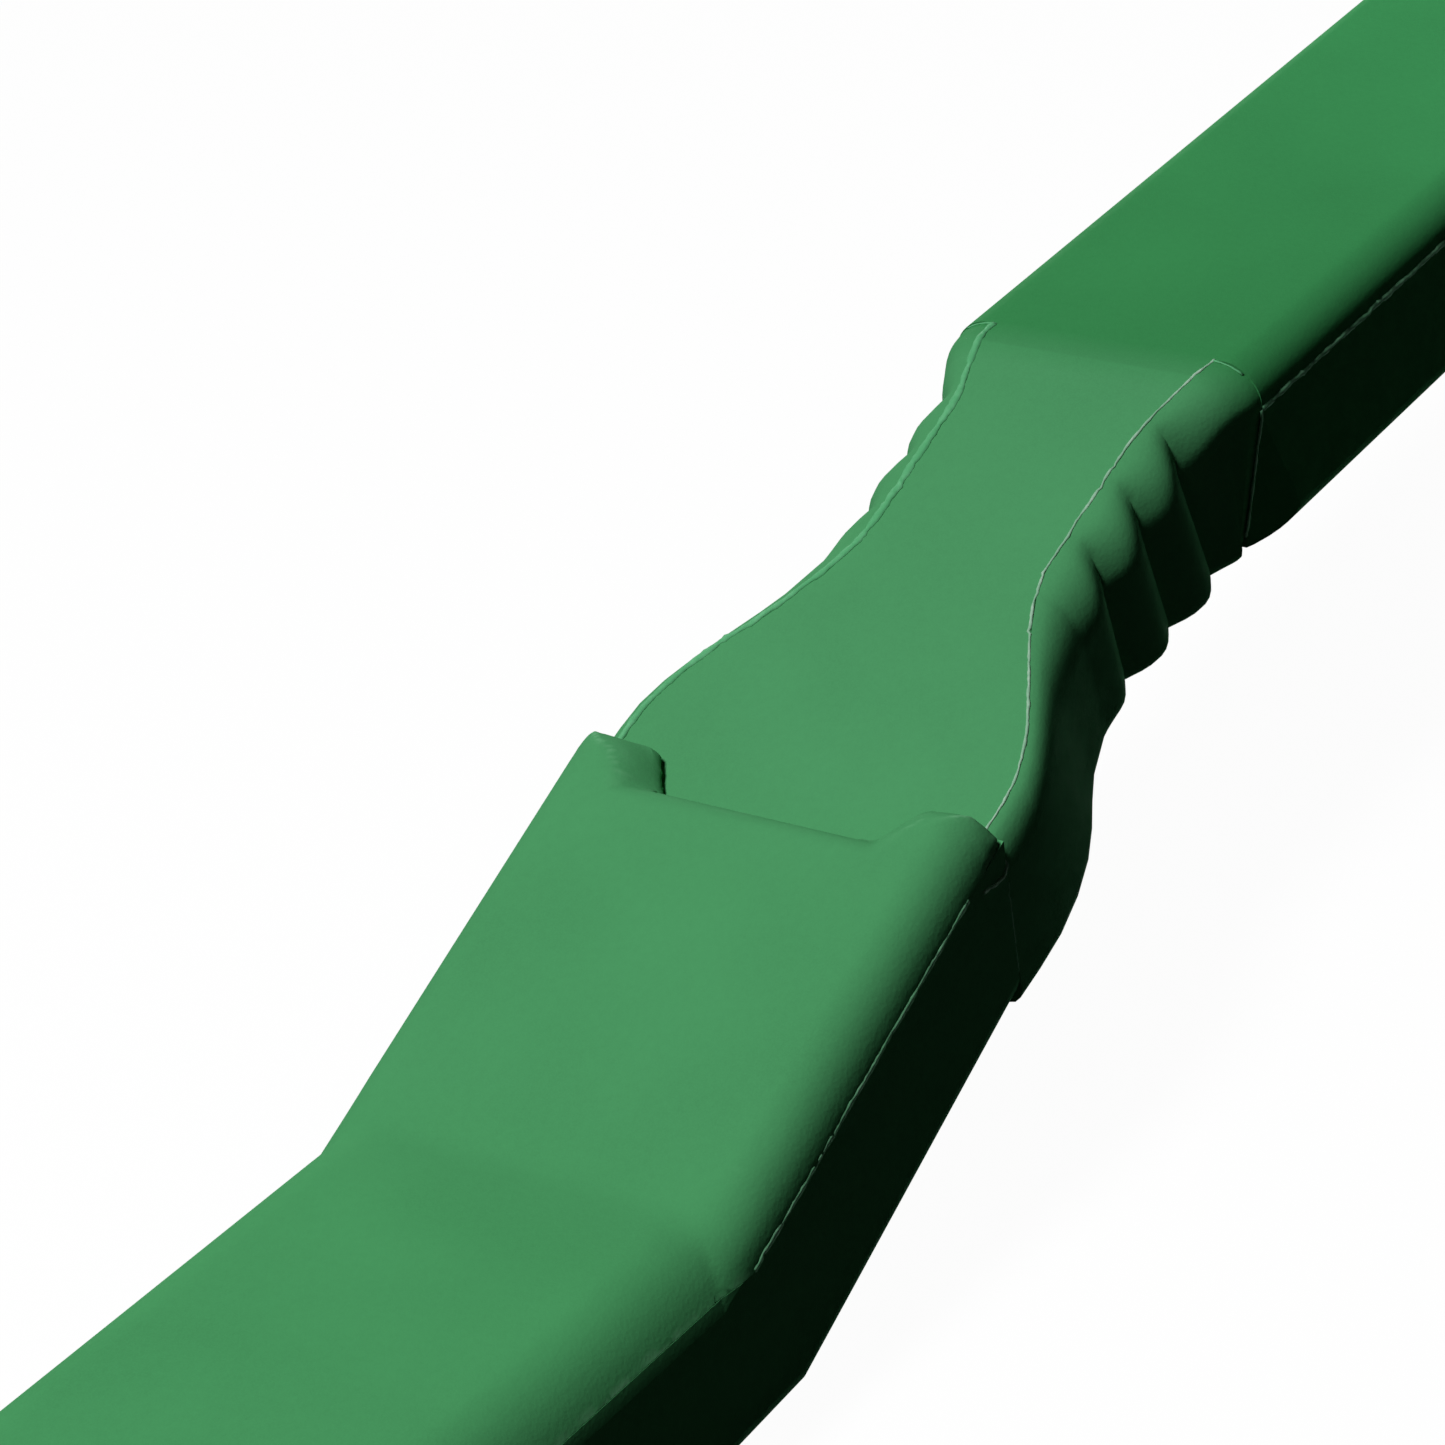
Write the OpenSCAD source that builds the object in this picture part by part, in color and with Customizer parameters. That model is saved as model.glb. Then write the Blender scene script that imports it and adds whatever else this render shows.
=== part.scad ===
// Laryngoscope with a cranked two-cell handle and a curved blade that folds over its front.
// The handle lies on its back: +Y runs from the tail to the blade and +Z is its front.
// The origin is the centre of the tail's flat underside.

/* [Cells and contacts] */
// Diameter of a cell
cell_d = 10.5; // [9.5:0.1:12]
// Length of a cell, nub included
cell_len = 44.5; // [40:0.5:52]
// Play round a cell in its trough
cell_fit = 0.15; // [0.1:0.05:0.3]
// Web between the two troughs
cell_web = 0.6; // [0.4:0.1:2]
// Height of a cell's nub
nub_h = 0.9; // [0.6:0.1:1.5]
// Diameter of a cell's nub
nub_d = 3.8; // [3:0.1:5]
// Working height of a contact spring
spring_h = 4.4; // [3.6:0.1:8]
// Mean diameter of a contact spring
spring_d = 6; // [4.5:0.1:7]
// Wire of the springs
wire_d = 0.6; // [0.4:0.05:0.7]
// Thickness of the brass sheet
sheet_t = 0.4; // [0.3:0.05:0.6]
// Width of a contact strip
strip_w = 1.4; // [1.2:0.1:1.5]
// Width of a contact plate
plate_w = 7.6; // [6:0.1:8.6]

/* [Tail] */
// Side wall beside a cell
side_wall = 2.4; // [1.8:0.1:4]
// Floor under the cells
floor_t = 1; // [0.8:0.1:2]
// Skin of the cell cover over the cells
cover_skin = 1; // [0.8:0.1:2]
// Thickness of the cell cover, which is also the step down to the waist
cover_t = 2.9; // [2.6:0.1:4]
// Wall between the cell bay and the crank
bay_wall = 2; // [1.5:0.1:4]
// Level run from that wall to the lower bend
bend_run = 9; // [6:0.5:20]
// End wall of the tail
tail_wall = 3; // [2.4:0.1:5]
// Corner radius of the tail end in plan
tail_r = 6; // [3:0.5:9]
// Run of the flat underside past the lower bend's mitre
knee_run = 1.7; // [0.5:0.1:3]
// Radius of the long lower edges
base_r = 2; // [1:0.1:3]
// Rise of the tail's front towards its end
tail_rise = 3.2; // [0:0.1:4]
// Radius of the long front edges of the tail
tail_edge_r = 4.4; // [2:0.1:5]
// Outer radius of the cover hinge
knuckle_r = 2.4; // [2:0.1:3]
// Diameter of the cover hinge pin
cover_pin_d = 1.8; // [1.5:0.1:2.2]
// Length of the cover's own knuckle
knuckle_len = 10; // [6:0.5:12]
// Length of each knuckle on the shell
ear_len = 4; // [3:0.5:5]

/* [Raised panel] */
// Climb of the raised panel
crank_a = 21; // [15:0.5:26]
// Length of the raised panel, from the lower bend to its tabs
panel_len = 28; // [22:0.5:36]
// Radius of the long front edges of the raised panel
panel_edge_r = 3; // [2:0.1:4]
// Depth of the notch that takes the blade tip
notch_d = 3; // [2:0.1:5]
// Width of the notch at its bottom
notch_w = 15.4; // [14:0.1:17]
// Width of the notch at its mouth
mouth_w = 19; // [17.5:0.1:20]
// Rounding of the notch and tab corners in plan
notch_r = 0.7; // [0.3:0.1:1]

/* [Waist] */
// Climb of the waist
waist_a = 17; // [12:0.5:22]
// Length of the waist face
waist_len = 35.4; // [30:0.2:44]
// Width of the waist face at the step
face_w0 = 24.2; // [22:0.2:25]
// Width of the waist face at its narrowest
face_wn = 12; // [12:0.2:14]
// Width of the waist face at the upper bend
face_w1 = 14.8; // [12:0.2:17]
// Outer width of the waist at its narrowest
waist_w = 17.8; // [16.4:0.2:20]
// Distance from the step to where the taper starts
taper_s0 = 2.5; // [1:0.5:6]
// Distance from the step to where the waist face is narrowest
taper_s1 = 20; // [14:0.5:24]
// Distance from the step to where the sides are narrowest
side_s1 = 18; // [14:0.5:22]
// Distance from the upper bend to where the waist face starts to flare
flare_run = 6.4; // [3:0.2:10]
// Distance from the upper bend to where the sides start to flare
side_flare = 3; // [2:0.2:8]
// Width of the shell's core between the pads
core_w = 10.4; // [10.2:0.1:10.6]
// Run of the pads past the upper bend
pad_over = 2.2; // [1:0.2:5]
// Distance between the ribs of a pad
rib_pitch = 4.75; // [3.5:0.05:5.5]
// Number of grooves between the ribs of a pad
rib_grooves = 3; // [2:1:3]
// Depth of the grooves between the ribs
rib_depth = 1.1; // [0.5:0.05:1.2]
// Distance from the upper bend back to the nearest groove
rib_back = 4.1; // [3:0.1:6]
// Lean of the ribs over the height of a pad
rib_lean = 3.1; // [0:0.1:3.6]
// Radius of the long front edges of the waist and the neck
edge_r = 2.5; // [1:0.1:2.5]
// Draft of a pad's side towards its lower edge
pad_draft = 0.8; // [0:0.1:0.9]
// Further draft at its upper end, which runs out under the neck
end_draft = 1.1; // [0:0.1:1.6]
// Run of that draft along the neck
draft_run = 4.3; // [2:0.1:6]
// Radius of a pad's lower edge
pad_r = 1; // [0.6:0.1:1.1]

/* [Neck] */
// Width of the neck
neck_w = 20.6; // [18:0.2:24]
// Thickness of the neck
neck_t = 12.2; // [10.5:0.1:15]
// Length of the neck from the upper bend to the head
neck_len = 60; // [50:1:80]
// Thickness of the front cover
lid_t = 2.7; // [2.4:0.1:3]
// Side wall of the neck
neck_wall = 1.8; // [1.4:0.1:2.4]
// Floor of the neck and of the wire channel
neck_floor = 1.6; // [1.4:0.1:2.4]
// Width of the wire channel through the crank
channel_w = 7.6; // [7.4:0.1:7.8]
// Radius of a screw boss
boss_r = 1.8; // [1.7:0.1:1.9]
// Diameter of the shell screws
screw_d = 2.2; // [1.8:0.1:2.6]
// Head diameter of the shell screws
screw_head_d = 4.2; // [3.6:0.1:5]

/* [Head] */
// Length of the head
head_len = 25; // [24:0.5:32]
// Width of the head
head_w = 26; // [24:0.5:30]
// Corner radius of the head
head_r = 3; // [2:0.5:5]
// Set-back of the foot of the head
head_rake = 5; // [2:0.5:7]
// Length of the spigot inside the neck
spigot_len = 12; // [9:0.5:16]
// Width of the slot for the blade
slot_w = 13; // [12:0.1:14]
// Depth of the slot
slot_depth = 10.8; // [10.6:0.1:12]
// Depth of the slot's bottom below the hook pin
slot_drop = 18.8; // [18.4:0.1:21]
// Radius of the head's nose round the hook pin
nose_r = 5.2; // [4.8:0.1:5.6]
// Diameter of the hook pin
hook_pin_d = 3; // [2.6:0.1:3.4]

/* [Lamp] */
// Distance of the lamp below the hook pin
lamp_drop = 9.5; // [9:0.1:10]
// Radius of the lamp barrel
lamp_r = 3.4; // [3:0.1:3.6]
// Length of the lamp barrel
lamp_len = 8; // [7:0.1:9]
// Wall of the lamp barrel
lamp_wall = 0.9; // [0.7:0.05:1.1]
// Working height of the lamp spring
lamp_spring_h = 3.4; // [3:0.1:4.5]
// Thickness of the lens, the board and the socket
disc_t = 1; // [0.8:0.1:1.4]
// Thickness of the lamp's ring seal
seal_d = 0.6; // [0.4:0.05:0.7]

/* [Blade] */
// Thickness of the spatula
spatula_t = 1.6; // [1.2:0.1:2.2]
// Thickness of the web and the flange
web_t = 1.4; // [1:0.1:1.5]
// Height of the web at the heel
web_h = 14; // [12:0.5:18]
// Outward lead of the blade at the heel
blade_lead = 13; // [10:0.5:16]
// Inward hook of the blade at the tip
blade_hook = 23; // [20:0.5:26]
// Width of the spatula from the web to its right edge
spatula_w = 10.2; // [8:0.1:11]
// Half width of the blade tip
tip_w = 6.2; // [5:0.1:6.6]
// Corner radius of the blade tip
tip_r = 5; // [3:0.1:5.5]
// Radius of the bead along the tip
bead_r = 1.3; // [1:0.1:1.6]
// Reach of the folded tip into the notch
tip_in = 1.2; // [0.4:0.1:2]
// Reach of the flange to the left of the web
flange_w = 7; // [5:0.5:10]
// Radius of the flange's arc
flange_R = 260; // [220:5:400]
// Width of the heel
heel_w = 20; // [18:0.5:24]
// Thickness of the heel outside the head
heel_t = 11; // [9:0.1:13]
// Reach of the heel below the hook pin
heel_low = 21; // [19:0.5:23]
// Diameter of the light guide
guide_d = 3; // [2:0.1:3]
// Arc of the blade that the light guide follows
guide_arc = 19; // [12:0.5:24]
// Diameter of the detent balls
ball_d = 2.5; // [2:0.1:2.8]
// Distance of the detent balls below the hook pin
ball_drop = 14.4; // [14:0.1:15]
// How far a detent ball stands out of the heel
ball_out = 0.45; // [0.2:0.05:0.6]
// Diameter of the heel rivets
rivet_d = 2; // [1.6:0.1:2.4]

/* [Fits] */
// Gap between pieces that are fixed together
seat = 0.05; // [0.02:0.01:0.1]
// Gap between pieces that move past each other
play = 0.15; // [0.1:0.05:0.25]
// Radial running fit of the pins
run_fit = 0.05; // [0.02:0.01:0.1]

/* [Hidden] */
$fn = 48;

green = "#43935c";
dark_green = "#2f7446";
steel = "#b9bdc1";
brass = "#c8a24a";

// Larger than the whole object, for cutting away one side
far = 400;

// Sizes that follow from the cells
trough_r = cell_d / 2 + cell_fit;
cell_x = trough_r + cell_web / 2;
cell_z = floor_t + trough_r;
body_w = 4 * trough_r + cell_web + 2 * side_wall;
body_t = floor_t + 2 * trough_r + cover_skin;
bay_len = cell_len + spring_h + 2 * sheet_t;
tail_len = tail_wall + bay_len + bay_wall + bend_run;
tail_y = -tail_len / 2;
bay_y0 = tail_y + tail_wall;
bay_y1 = bay_y0 + bay_len;

// Side view of the crank, as [Y, Z] points on the front face
function along(a, d) = d * [cos(a), sin(a)];
function across(a, d) = d * [-sin(a), cos(a)];
bend = [tail_len / 2, body_t];
tabs = bend + along(crank_a, panel_len);
foot = tabs - across(crank_a, cover_t);
crest = foot + along(waist_a, waist_len);
neck_z = crest[1];
neck_y = crest[0] + neck_len;
head_y = neck_y + head_len;

// Corner at a depth d under a bend at p from angle a to angle b
function mitre(p, a, b, d) = p - (across(a, d) + across(b, d)) / (1 + cos(b - a));
knee = mitre(bend, 0, crank_a, body_t) + [knee_run, 0];
seat_foot = foot - across(waist_a, lid_t + seat);
seat_crest = mitre(crest, waist_a, 0, lid_t + seat);

// Parting plane under the cell cover
rim_bend = mitre(bend, -tail_rise, crank_a, cover_t);
function rim_z(y) = rim_bend[1] + (rim_bend[0] - y) * tan(tail_rise);

// Back of the waist and the neck
pad_y0 = foot[0];
pad_y1 = crest[0] + pad_over;
neck_low = neck_z - neck_t;
belly0 = [pad_y0, (pad_y0 - knee[0] + knee_run) * tan(crank_a)];
belly1 = [pad_y1, neck_low];
belly_slope = (belly1[1] - belly0[1]) / (belly1[0] - belly0[0]);
under_a = atan2(belly0[1], pad_y0 - knee[0]);
function belly_z(y) = belly0[1] + (y - belly0[0]) * belly_slope;
function back_line(rise, y0, y1) = [
    [y0, rise], [knee[0], rise], belly0 + [0, rise], belly1 + [0, rise], [y1, neck_low + rise]
];

// Hinge of the cell cover, at the level of the parting plane
hinge_y = tail_y - knuckle_r;
hinge_z = rim_z(hinge_y);
ear_gap = play;

// Hook pin, head slot and lamp
pin_y = head_y - nose_r;
pin_z = neck_z - nose_r;
slot_y = head_y - slot_depth;
slot_z = pin_z - slot_drop;
lamp_z = pin_z - lamp_drop;
tongue_back = slot_depth - nose_r - 1;
lamp_y = pin_y - tongue_back - 0.1;
spring_y = lamp_y - lamp_len;
socket_y = spring_y - lamp_spring_h;
lamp_bore_r = lamp_r + run_fit;
lamp_core_r = lamp_r - lamp_wall;

// Blade in its own plane: u runs up from the hook pin and v away from the handle
heel_v = nose_r + 2 * play;
blade_u = 4;
blade_v = heel_v + 0.9;
reach = pin_y - foot[0] + tip_in - blade_u;
blade_R = reach / (sin(blade_lead) + sin(blade_hook));
blade_c = [blade_v - blade_R * cos(blade_lead), blade_u + blade_R * sin(blade_lead)];
outer_R = blade_R + spatula_t;
function on_blade(r, a) = blade_c + r * [cos(blade_lead - a), -sin(blade_lead - a)];
flange_a = [blade_v + web_h, blade_u - 2];
flange_b = on_blade(outer_R, 0.86 * (blade_lead + blade_hook));
chord = flange_b - flange_a;
chord_n = [-chord[1], chord[0]] / norm(chord);
flange_c = (flange_a + flange_b) / 2 + chord_n * sqrt(pow(flange_R, 2) - pow(norm(chord) / 2, 2));
web_x = -guide_d / 2 - 0.2;
guide_r = guide_d / 2;
guide_R = outer_R + guide_r + 0.1;
guide_top = on_blade(guide_R, 0);
guide_bend = 3;
tongue_w = slot_w - 2 * play;

// Bent slab with a [Y, Z] outline, w wide
module side(points, w) {
    rotate([90, 0, 90])
        linear_extrude(w, center = true)
            polygon(points);
}

// Section in [X, height] drawn out from s0 to s1 along a line that climbs at a from p
module run(p, a, s0, s1) {
    translate([0, p[0], p[1]])
        rotate([a, 0, 0])
            translate([0, s1, 0])
                rotate([90, 0, 0])
                    linear_extrude(s1 - s0)
                        children();
}

// Plan in [X, s] on a plane that climbs at a from p, from depth d up to the plane and h above it
module plate(p, a, d, h = 0) {
    translate([0, p[0], p[1]])
        rotate([a, 0, 0])
            translate([0, 0, -d])
                linear_extrude(d + h)
                    children();
}

// Round bar along X
module cross_bar(y, z, r, w) {
    translate([0, y, z])
        rotate([0, 90, 0])
            cylinder(r = r, h = w, center = true);
}

// Round bar along Y
module long_bar(x, z, r, y0, y1) {
    translate([x, y1, z])
        rotate([90, 0, 0])
            cylinder(r = r, h = y1 - y0);
}

// Hair by which one form stands outside another, so that their faces meet at a clear angle
hair = 0.03;

// Rounded corner of radius r about the origin
module corner(r) {
    circle(r + hair);
}

// Section of a trough: from low up to high, with its lower corners rounded
module trough(w, low, high, r) {
    intersection() {
        translate([-w / 2, low])
            square([w, high - low]);
        union() {
            translate([-w, low + r])
                square([2 * w, high - low]);
            translate([-w / 2 + r, low - 1])
                square([w - 2 * r, r + 2]);
            for (s = [-1, 1])
                translate([s * (w / 2 - r), low + r])
                    corner(r);
        }
    }
}

// Section of a cover: t thick under the front face, with its upper corners rounded
module lid(w, t, r) {
    rotate(180)
        trough(w, 0, t, r);
}

// Plan of the tail with its two round end corners
module tail_plan() {
    translate([0, tail_y])
        trough(body_w, 0, far, tail_r);
}

// Share by which the edges of the climbing run are rounder than those of the level run
climb_r = 1.06;

deep = body_t + 30;

// Tail and raised panel from their front faces down, with rounded long edges
module front_form() {
    run(bend, -tail_rise, -far / 2, panel_len)
        lid(body_w + 2 * hair, deep, tail_edge_r);
    run(bend, crank_a, -panel_len, panel_len + 9)
        lid(body_w + 2 * hair, 2 * deep, panel_edge_r);
}

// Helix of round wire along Y, from y0 to y1
function helix_ring(d, wire, y0, pitch, a) = [
    for (k = [0:5])
        let (r = d / 2 + wire / 2 * cos(60 * k))
        [r * cos(a), y0 + wire / 2 + pitch * a / 360 + wire / 2 * sin(60 * k), r * sin(a)]
];

module coil(d, wire, y0, y1, turns) {
    steps = 14;
    pitch = (y1 - y0 - wire) / turns;
    loft([for (i = [0:steps * turns]) helix_ring(d, wire, y0, pitch, i * 360 / steps)]);
}

// Closed skin over a list of rings with equal numbers of points, which fan from their first point at the ends
module loft(rings) {
    n = len(rings[0]);
    m = len(rings);
    points = [for (r = rings) each r];
    sides = [
        for (i = [0:m - 2], k = [0:n - 1])
            let (a = i * n + k, b = i * n + (k + 1) % n)
            each [[a, b, b + n], [a, b + n, a + n]]
    ];
    start = [[for (k = [n - 1:-1:0]) k]];
    end = [[for (k = [0:n - 1]) (m - 1) * n + k]];
    polyhedron(points = points, faces = concat(sides, start, end), convexity = 6);
}

// Waist widths at a distance s from the step
function ease(s, s0, s1) = let (t = min(1, max(0, (s - s0) / (s1 - s0)))) t * t * (3 - 2 * t);
function blend(a, b, t) = a + (b - a) * t;
pad_len = waist_len + pad_over;
function waisted(w0, wn, w1, s, s1, flare) =
    blend(blend(w0, wn, ease(s, taper_s0, s1)), w1, ease(s, waist_len - flare, pad_len));
function face_x(s) = waisted(face_w0, face_wn, face_w1, s, taper_s1, flare_run) / 2;
function groove(s) =
    let (q = (waist_len - rib_back - s) / rib_pitch)
    q < -0.5 || q > rib_grooves - 0.5 ? 0 : rib_depth * (1 - abs(sin(180 * q)));
function outer_x(s) = waisted(body_w, waist_w, neck_w, s, side_s1, side_flare) / 2 - groove(s);

// Front edge of a pad at a distance s from the step, and how far its back edge leans ahead of it
function pad_top(s) = s < waist_len ? foot + along(waist_a, s) : crest + [s - waist_len, 0];
function lean(s) = rib_lean * ease(s, seat, taper_s1 / 2) * (1 - ease(s, waist_len - 3, pad_len));
function draft(s) = pad_draft * (ease(s, 6, taper_s1) - ease(s, taper_s1, waist_len - rib_back))
    + (pad_draft + end_draft) * ease(s, waist_len - 2.4, pad_len);

// One ring round a pad, from the reflex corner under the front cover
function pad_ring(s) =
    let (t = pad_top(s), h = t[1] - belly_z(t[0] + lean(s)), d = (lid_t + 2 * seat) / cos(waist_a))
    let (f = face_x(s) + seat, o = outer_x(s), e = o - f, c = core_w / 2 + seat, i = o - draft(s) - pad_r)
    let (outline = concat(
        [[f, d], [c, d], [c, h]],
        [for (a = [0:30:90]) [i + pad_r * sin(a), h - pad_r + pad_r * cos(a)]],
        [for (a = [0:15:90]) [f + e * cos(a), edge_r - edge_r * sin(a)]]
    ))
    [for (p = outline) [p[0], t[0] + lean(s) * max(0, p[1] - d) / (h - d), t[1] - p[1]]];

pad_steps = concat(
    [for (s = [seat:2:taper_s1 - 4]) s],
    [for (s = [taper_s1 - 3:0.59375:pad_len - 0.3]) s],
    [pad_len - seat]
);

module grip_pad() {
    loft([for (s = pad_steps) pad_ring(s)]);
}

module grip_pad_right() {
    color(green)
        grip_pad();
}

module grip_pad_left() {
    color(green)
        mirror([1, 0, 0])
            grip_pad();
}

// Screw places along the neck
screw_ys = [crest[0] + 9, crest[0] + neck_len / 2, neck_y - spigot_len / 2];
boss_top = neck_z - lid_t - seat;
screw_len = neck_t - lid_t - 1;

module rear_shell() {
    color(green)
    difference() {
        union() {
            intersection() {
                run(bend, 0, -far / 2, far / 2)
                    trough(body_w, -body_t, deep, base_r);
                run(knee, under_a, -far / 2, far / 2)
                    trough(body_w, 0, 2 * deep, climb_r * base_r);
                front_form();
                side([[-far, -deep], [pad_y0, -deep], foot, rim_bend, [-far, rim_z(-far)]], 2 * far);
                linear_extrude(far)
                    tail_plan();
            }
            side([
                belly0 + [-3, 1], belly0, belly1, belly1 + [3, 1],
                [pad_y1 + 3, boss_top - 1], [pad_y1, boss_top], seat_crest, seat_foot - along(waist_a, 4)
            ], core_w);
            run(crest, 0, pad_over + seat, neck_len - seat)
                trough(neck_w, -neck_t, -lid_t - seat, base_r);
            for (s = [-1, 1])
                translate([s * (knuckle_len / 2 + ear_gap + ear_len / 2), 0, 0])
                    hinge_knuckle(ear_len, -1);
        }
        cell_bay();
        side(concat(back_line(neck_floor, bay_y1 - 1, neck_y + 1), [[neck_y + 1, far], [bay_y1 - 1, far]]), channel_w);
        run(crest, 0, pad_over + neck_wall, neck_len + 1)
            translate([-neck_w / 2 + neck_wall, -neck_t + neck_floor])
                square([neck_w - 2 * neck_wall, neck_t]);
        front_tongue(seat);
        neck_draft();
        mirror([1, 0, 0])
            neck_draft();
        hinge_relief(knuckle_len / 2 + ear_gap, 0);
        cross_bar(hinge_y, hinge_z, cover_pin_d / 2 + seat / 2, far);
        for (y = screw_ys)
            translate([0, y, 0])
                screw(seat);
    }
}

// Corner off the neck's lower edge, where the draft of a pad runs out
module neck_draft() {
    x = neck_w / 2;
    corners = [
        [x, pad_y1, neck_z - lid_t - 0.5], [x - pad_draft - end_draft, pad_y1, neck_low],
        [x, pad_y1 + draft_run, neck_low], [x, pad_y1, neck_low]
    ];
    middle = (corners[0] + corners[1] + corners[2]) / 3;
    polyhedron([for (c = corners) middle + 1.6 * (c - middle)], [[0, 1, 2], [0, 3, 1], [1, 3, 2], [2, 3, 0]]);
}

// Two cell troughs, open to the front
module cell_bay() {
    for (s = [-1, 1])
        long_bar(s * cell_x, cell_z, trough_r, bay_y0, bay_y1);
    translate([-cell_x - trough_r, bay_y0, cell_z])
        cube([2 * (cell_x + trough_r), bay_len, body_t]);
    for (y = [bay_y0, bay_y1 - sheet_t - seat])
        translate([-cell_x - plate_w / 2 - seat, y, neck_floor])
            cube([2 * cell_x + plate_w + 2 * seat, sheet_t + seat, body_t]);
}

// Barrel of the cover hinge, w long, with a root that joins it to the tail above or below the parting plane
module hinge_knuckle(w, up) {
    root = knuckle_r * 0.8;
    translate([0, hinge_y, hinge_z])
        rotate([90, 0, 90])
            linear_extrude(w, center = true) {
                circle(knuckle_r);
                rotate(-tail_rise)
                    translate([0, up > 0 ? play : -root])
                        square([knuckle_r + tail_wall / 2, root - (up > 0 ? play : 2 * hair)]);
            }
}

// Room for the moving knuckle between x0 and -x0, or for the two fixed ones outside it
module hinge_relief(x0, x1) {
    for (x = x1 > 0 ? [-1, 1] : [0])
        translate([x * (x0 + x1) / 2, 0, 0])
            cross_bar(hinge_y, hinge_z, knuckle_r + 2 * play, x1 > 0 ? x1 - x0 : 2 * x0);
}

// Part of the front cover that lies under the notch of the cell cover
module front_tongue(grow) {
    w = mouth_w + 0.8 + 2 * grow;
    plate(foot, waist_a, lid_t + grow, 1)
        translate([-w / 2, -notch_d - 1 - grow])
            square([w, notch_d + 2]);
}

front_plan = concat(
    [for (s = pad_steps) [face_x(s), pad_top(s)[0]]],
    [[face_x(pad_len), pad_y1], [neck_w / 2 + 1, pad_y1], [neck_w / 2 + 1, neck_y - seat]]
);

module front_cover() {
    rim = foot - [0, seat];
    color(green)
    difference() {
        union() {
            intersection() {
                side([foot, foot - across(waist_a, lid_t), mitre(crest, waist_a, 0, lid_t),
                    [far, neck_z - lid_t], [far, neck_z], crest], far);
                linear_extrude(far)
                    polygon(concat(front_plan, [for (i = [len(front_plan) - 1:-1:0]) [-front_plan[i][0], front_plan[i][1]]]));
                union() {
                    translate([-far / 2, -far + pad_y1 - pad_over / 2, 0])
                        cube([far, far, far]);
                    run(crest, 0, 0, far)
                        lid(neck_w, deep, edge_r);
                }
            }
            intersection() {
                front_tongue(0);
                side([rim - [9, 9 * tan(crank_a)], rim, rim + [1, tan(waist_a) / 2], rim + [1, -30], rim - [9, 30]], far);
            }
            for (y = [screw_ys[0], screw_ys[1]])
                translate([0, y, neck_low + neck_floor + seat])
                    cylinder(r = boss_r, h = neck_t - neck_floor - lid_t + 1);
        }
        for (y = screw_ys)
            translate([0, y, 0])
                screw(seat);
    }
}

module cell_cover() {
    low = cover_t - play;
    color(green)
    difference() {
        union() {
            intersection() {
                front_form();
                side([
                    [-far, rim_z(-far) + play], mitre(bend, -tail_rise, crank_a, low),
                    tabs + along(crank_a, 2) - across(crank_a, low), tabs + along(crank_a, 2) + across(crank_a, 5),
                    [bend[0], far], [-far, far]
                ], 2 * far);
                linear_extrude(far)
                    tail_plan();
            }
            hinge_knuckle(knuckle_len, 1);
        }
        plate(bend, crank_a, deep, deep)
            notch_plan();
        for (s = [-1, 1])
            long_bar(s * cell_x, cell_z, trough_r + play, bay_y0, bay_y1);
        cross_bar(hinge_y, hinge_z, cover_pin_d / 2 + run_fit, far);
        hinge_relief(knuckle_len / 2, knuckle_len / 2 + ear_gap + ear_len + play);
    }
}

// Plan of what the raised panel leaves free: the notch and everything past the rounded tabs
module notch_plan() {
    w = body_w + 10;
    offset(r = notch_r)
        offset(delta = -2 * notch_r)
            offset(r = notch_r)
                polygon([
                    [-w, panel_len + 10], [-w, panel_len], [-mouth_w / 2, panel_len],
                    [-notch_w / 2, panel_len - notch_d], [notch_w / 2, panel_len - notch_d],
                    [mouth_w / 2, panel_len], [w, panel_len], [w, panel_len + 10]
                ]);
}

module cover_hinge_pin() {
    color(steel)
        cross_bar(hinge_y, hinge_z, cover_pin_d / 2, knuckle_len + 2 * (ear_gap + ear_len));
}

// Cell along Y from y0, with its nub at the +Y end
module cell(y0) {
    body = cell_len - nub_h;
    long_bar(0, cell_z, cell_d / 2, y0 + seat, y0 + body);
    long_bar(0, cell_z, nub_d / 2, y0 + body - 1, y0 + cell_len - seat);
}

module cell_left() {
    color("dimgray")
        translate([-cell_x, 0, 0])
            cell(bay_y0 + sheet_t + spring_h);
}

module cell_right() {
    color("dimgray")
        translate([cell_x, bay_y0 + bay_y1 - spring_h, 0])
            mirror([0, 1, 0])
                cell(bay_y0 + sheet_t);
}

module contact_springs() {
    color(steel) {
        translate([-cell_x, 0, cell_z])
            coil(spring_d, wire_d, bay_y0 + sheet_t + seat, bay_y0 + sheet_t + spring_h - seat, 4);
        translate([cell_x, 0, cell_z])
            coil(spring_d, wire_d, bay_y1 - sheet_t - spring_h + seat, bay_y1 - sheet_t - seat, 4);
    }
}

module tail_contact() {
    color(brass)
        translate([-cell_x - plate_w / 2, bay_y0 + seat, strip_z0])
            cube([2 * cell_x + plate_w, sheet_t - seat, plate_h]);
}

// Contact plate at the bay's inner end and the strip that leads from it through the crank to the lamp
strip_x = channel_w / 2 - strip_w / 2 - 0.3;
strip_z0 = neck_floor + seat;
plate_h = rim_z(bay_y1) - play - strip_z0;

module strip(y1) {
    translate([cell_x - plate_w / 2, bay_y1 - sheet_t, strip_z0])
        cube([plate_w, sheet_t - seat, plate_h]);
    low = back_line(strip_z0, bay_y1 - sheet_t, y1);
    high = back_line(strip_z0 + sheet_t, bay_y1 - sheet_t, y1);
    translate([strip_x, 0, 0])
        side(concat(low, [for (i = [len(high) - 1:-1:0]) high[i]]), strip_w);
}

module positive_strip() {
    color(brass)
        mirror([1, 0, 0])
            strip(socket_y);
}

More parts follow.
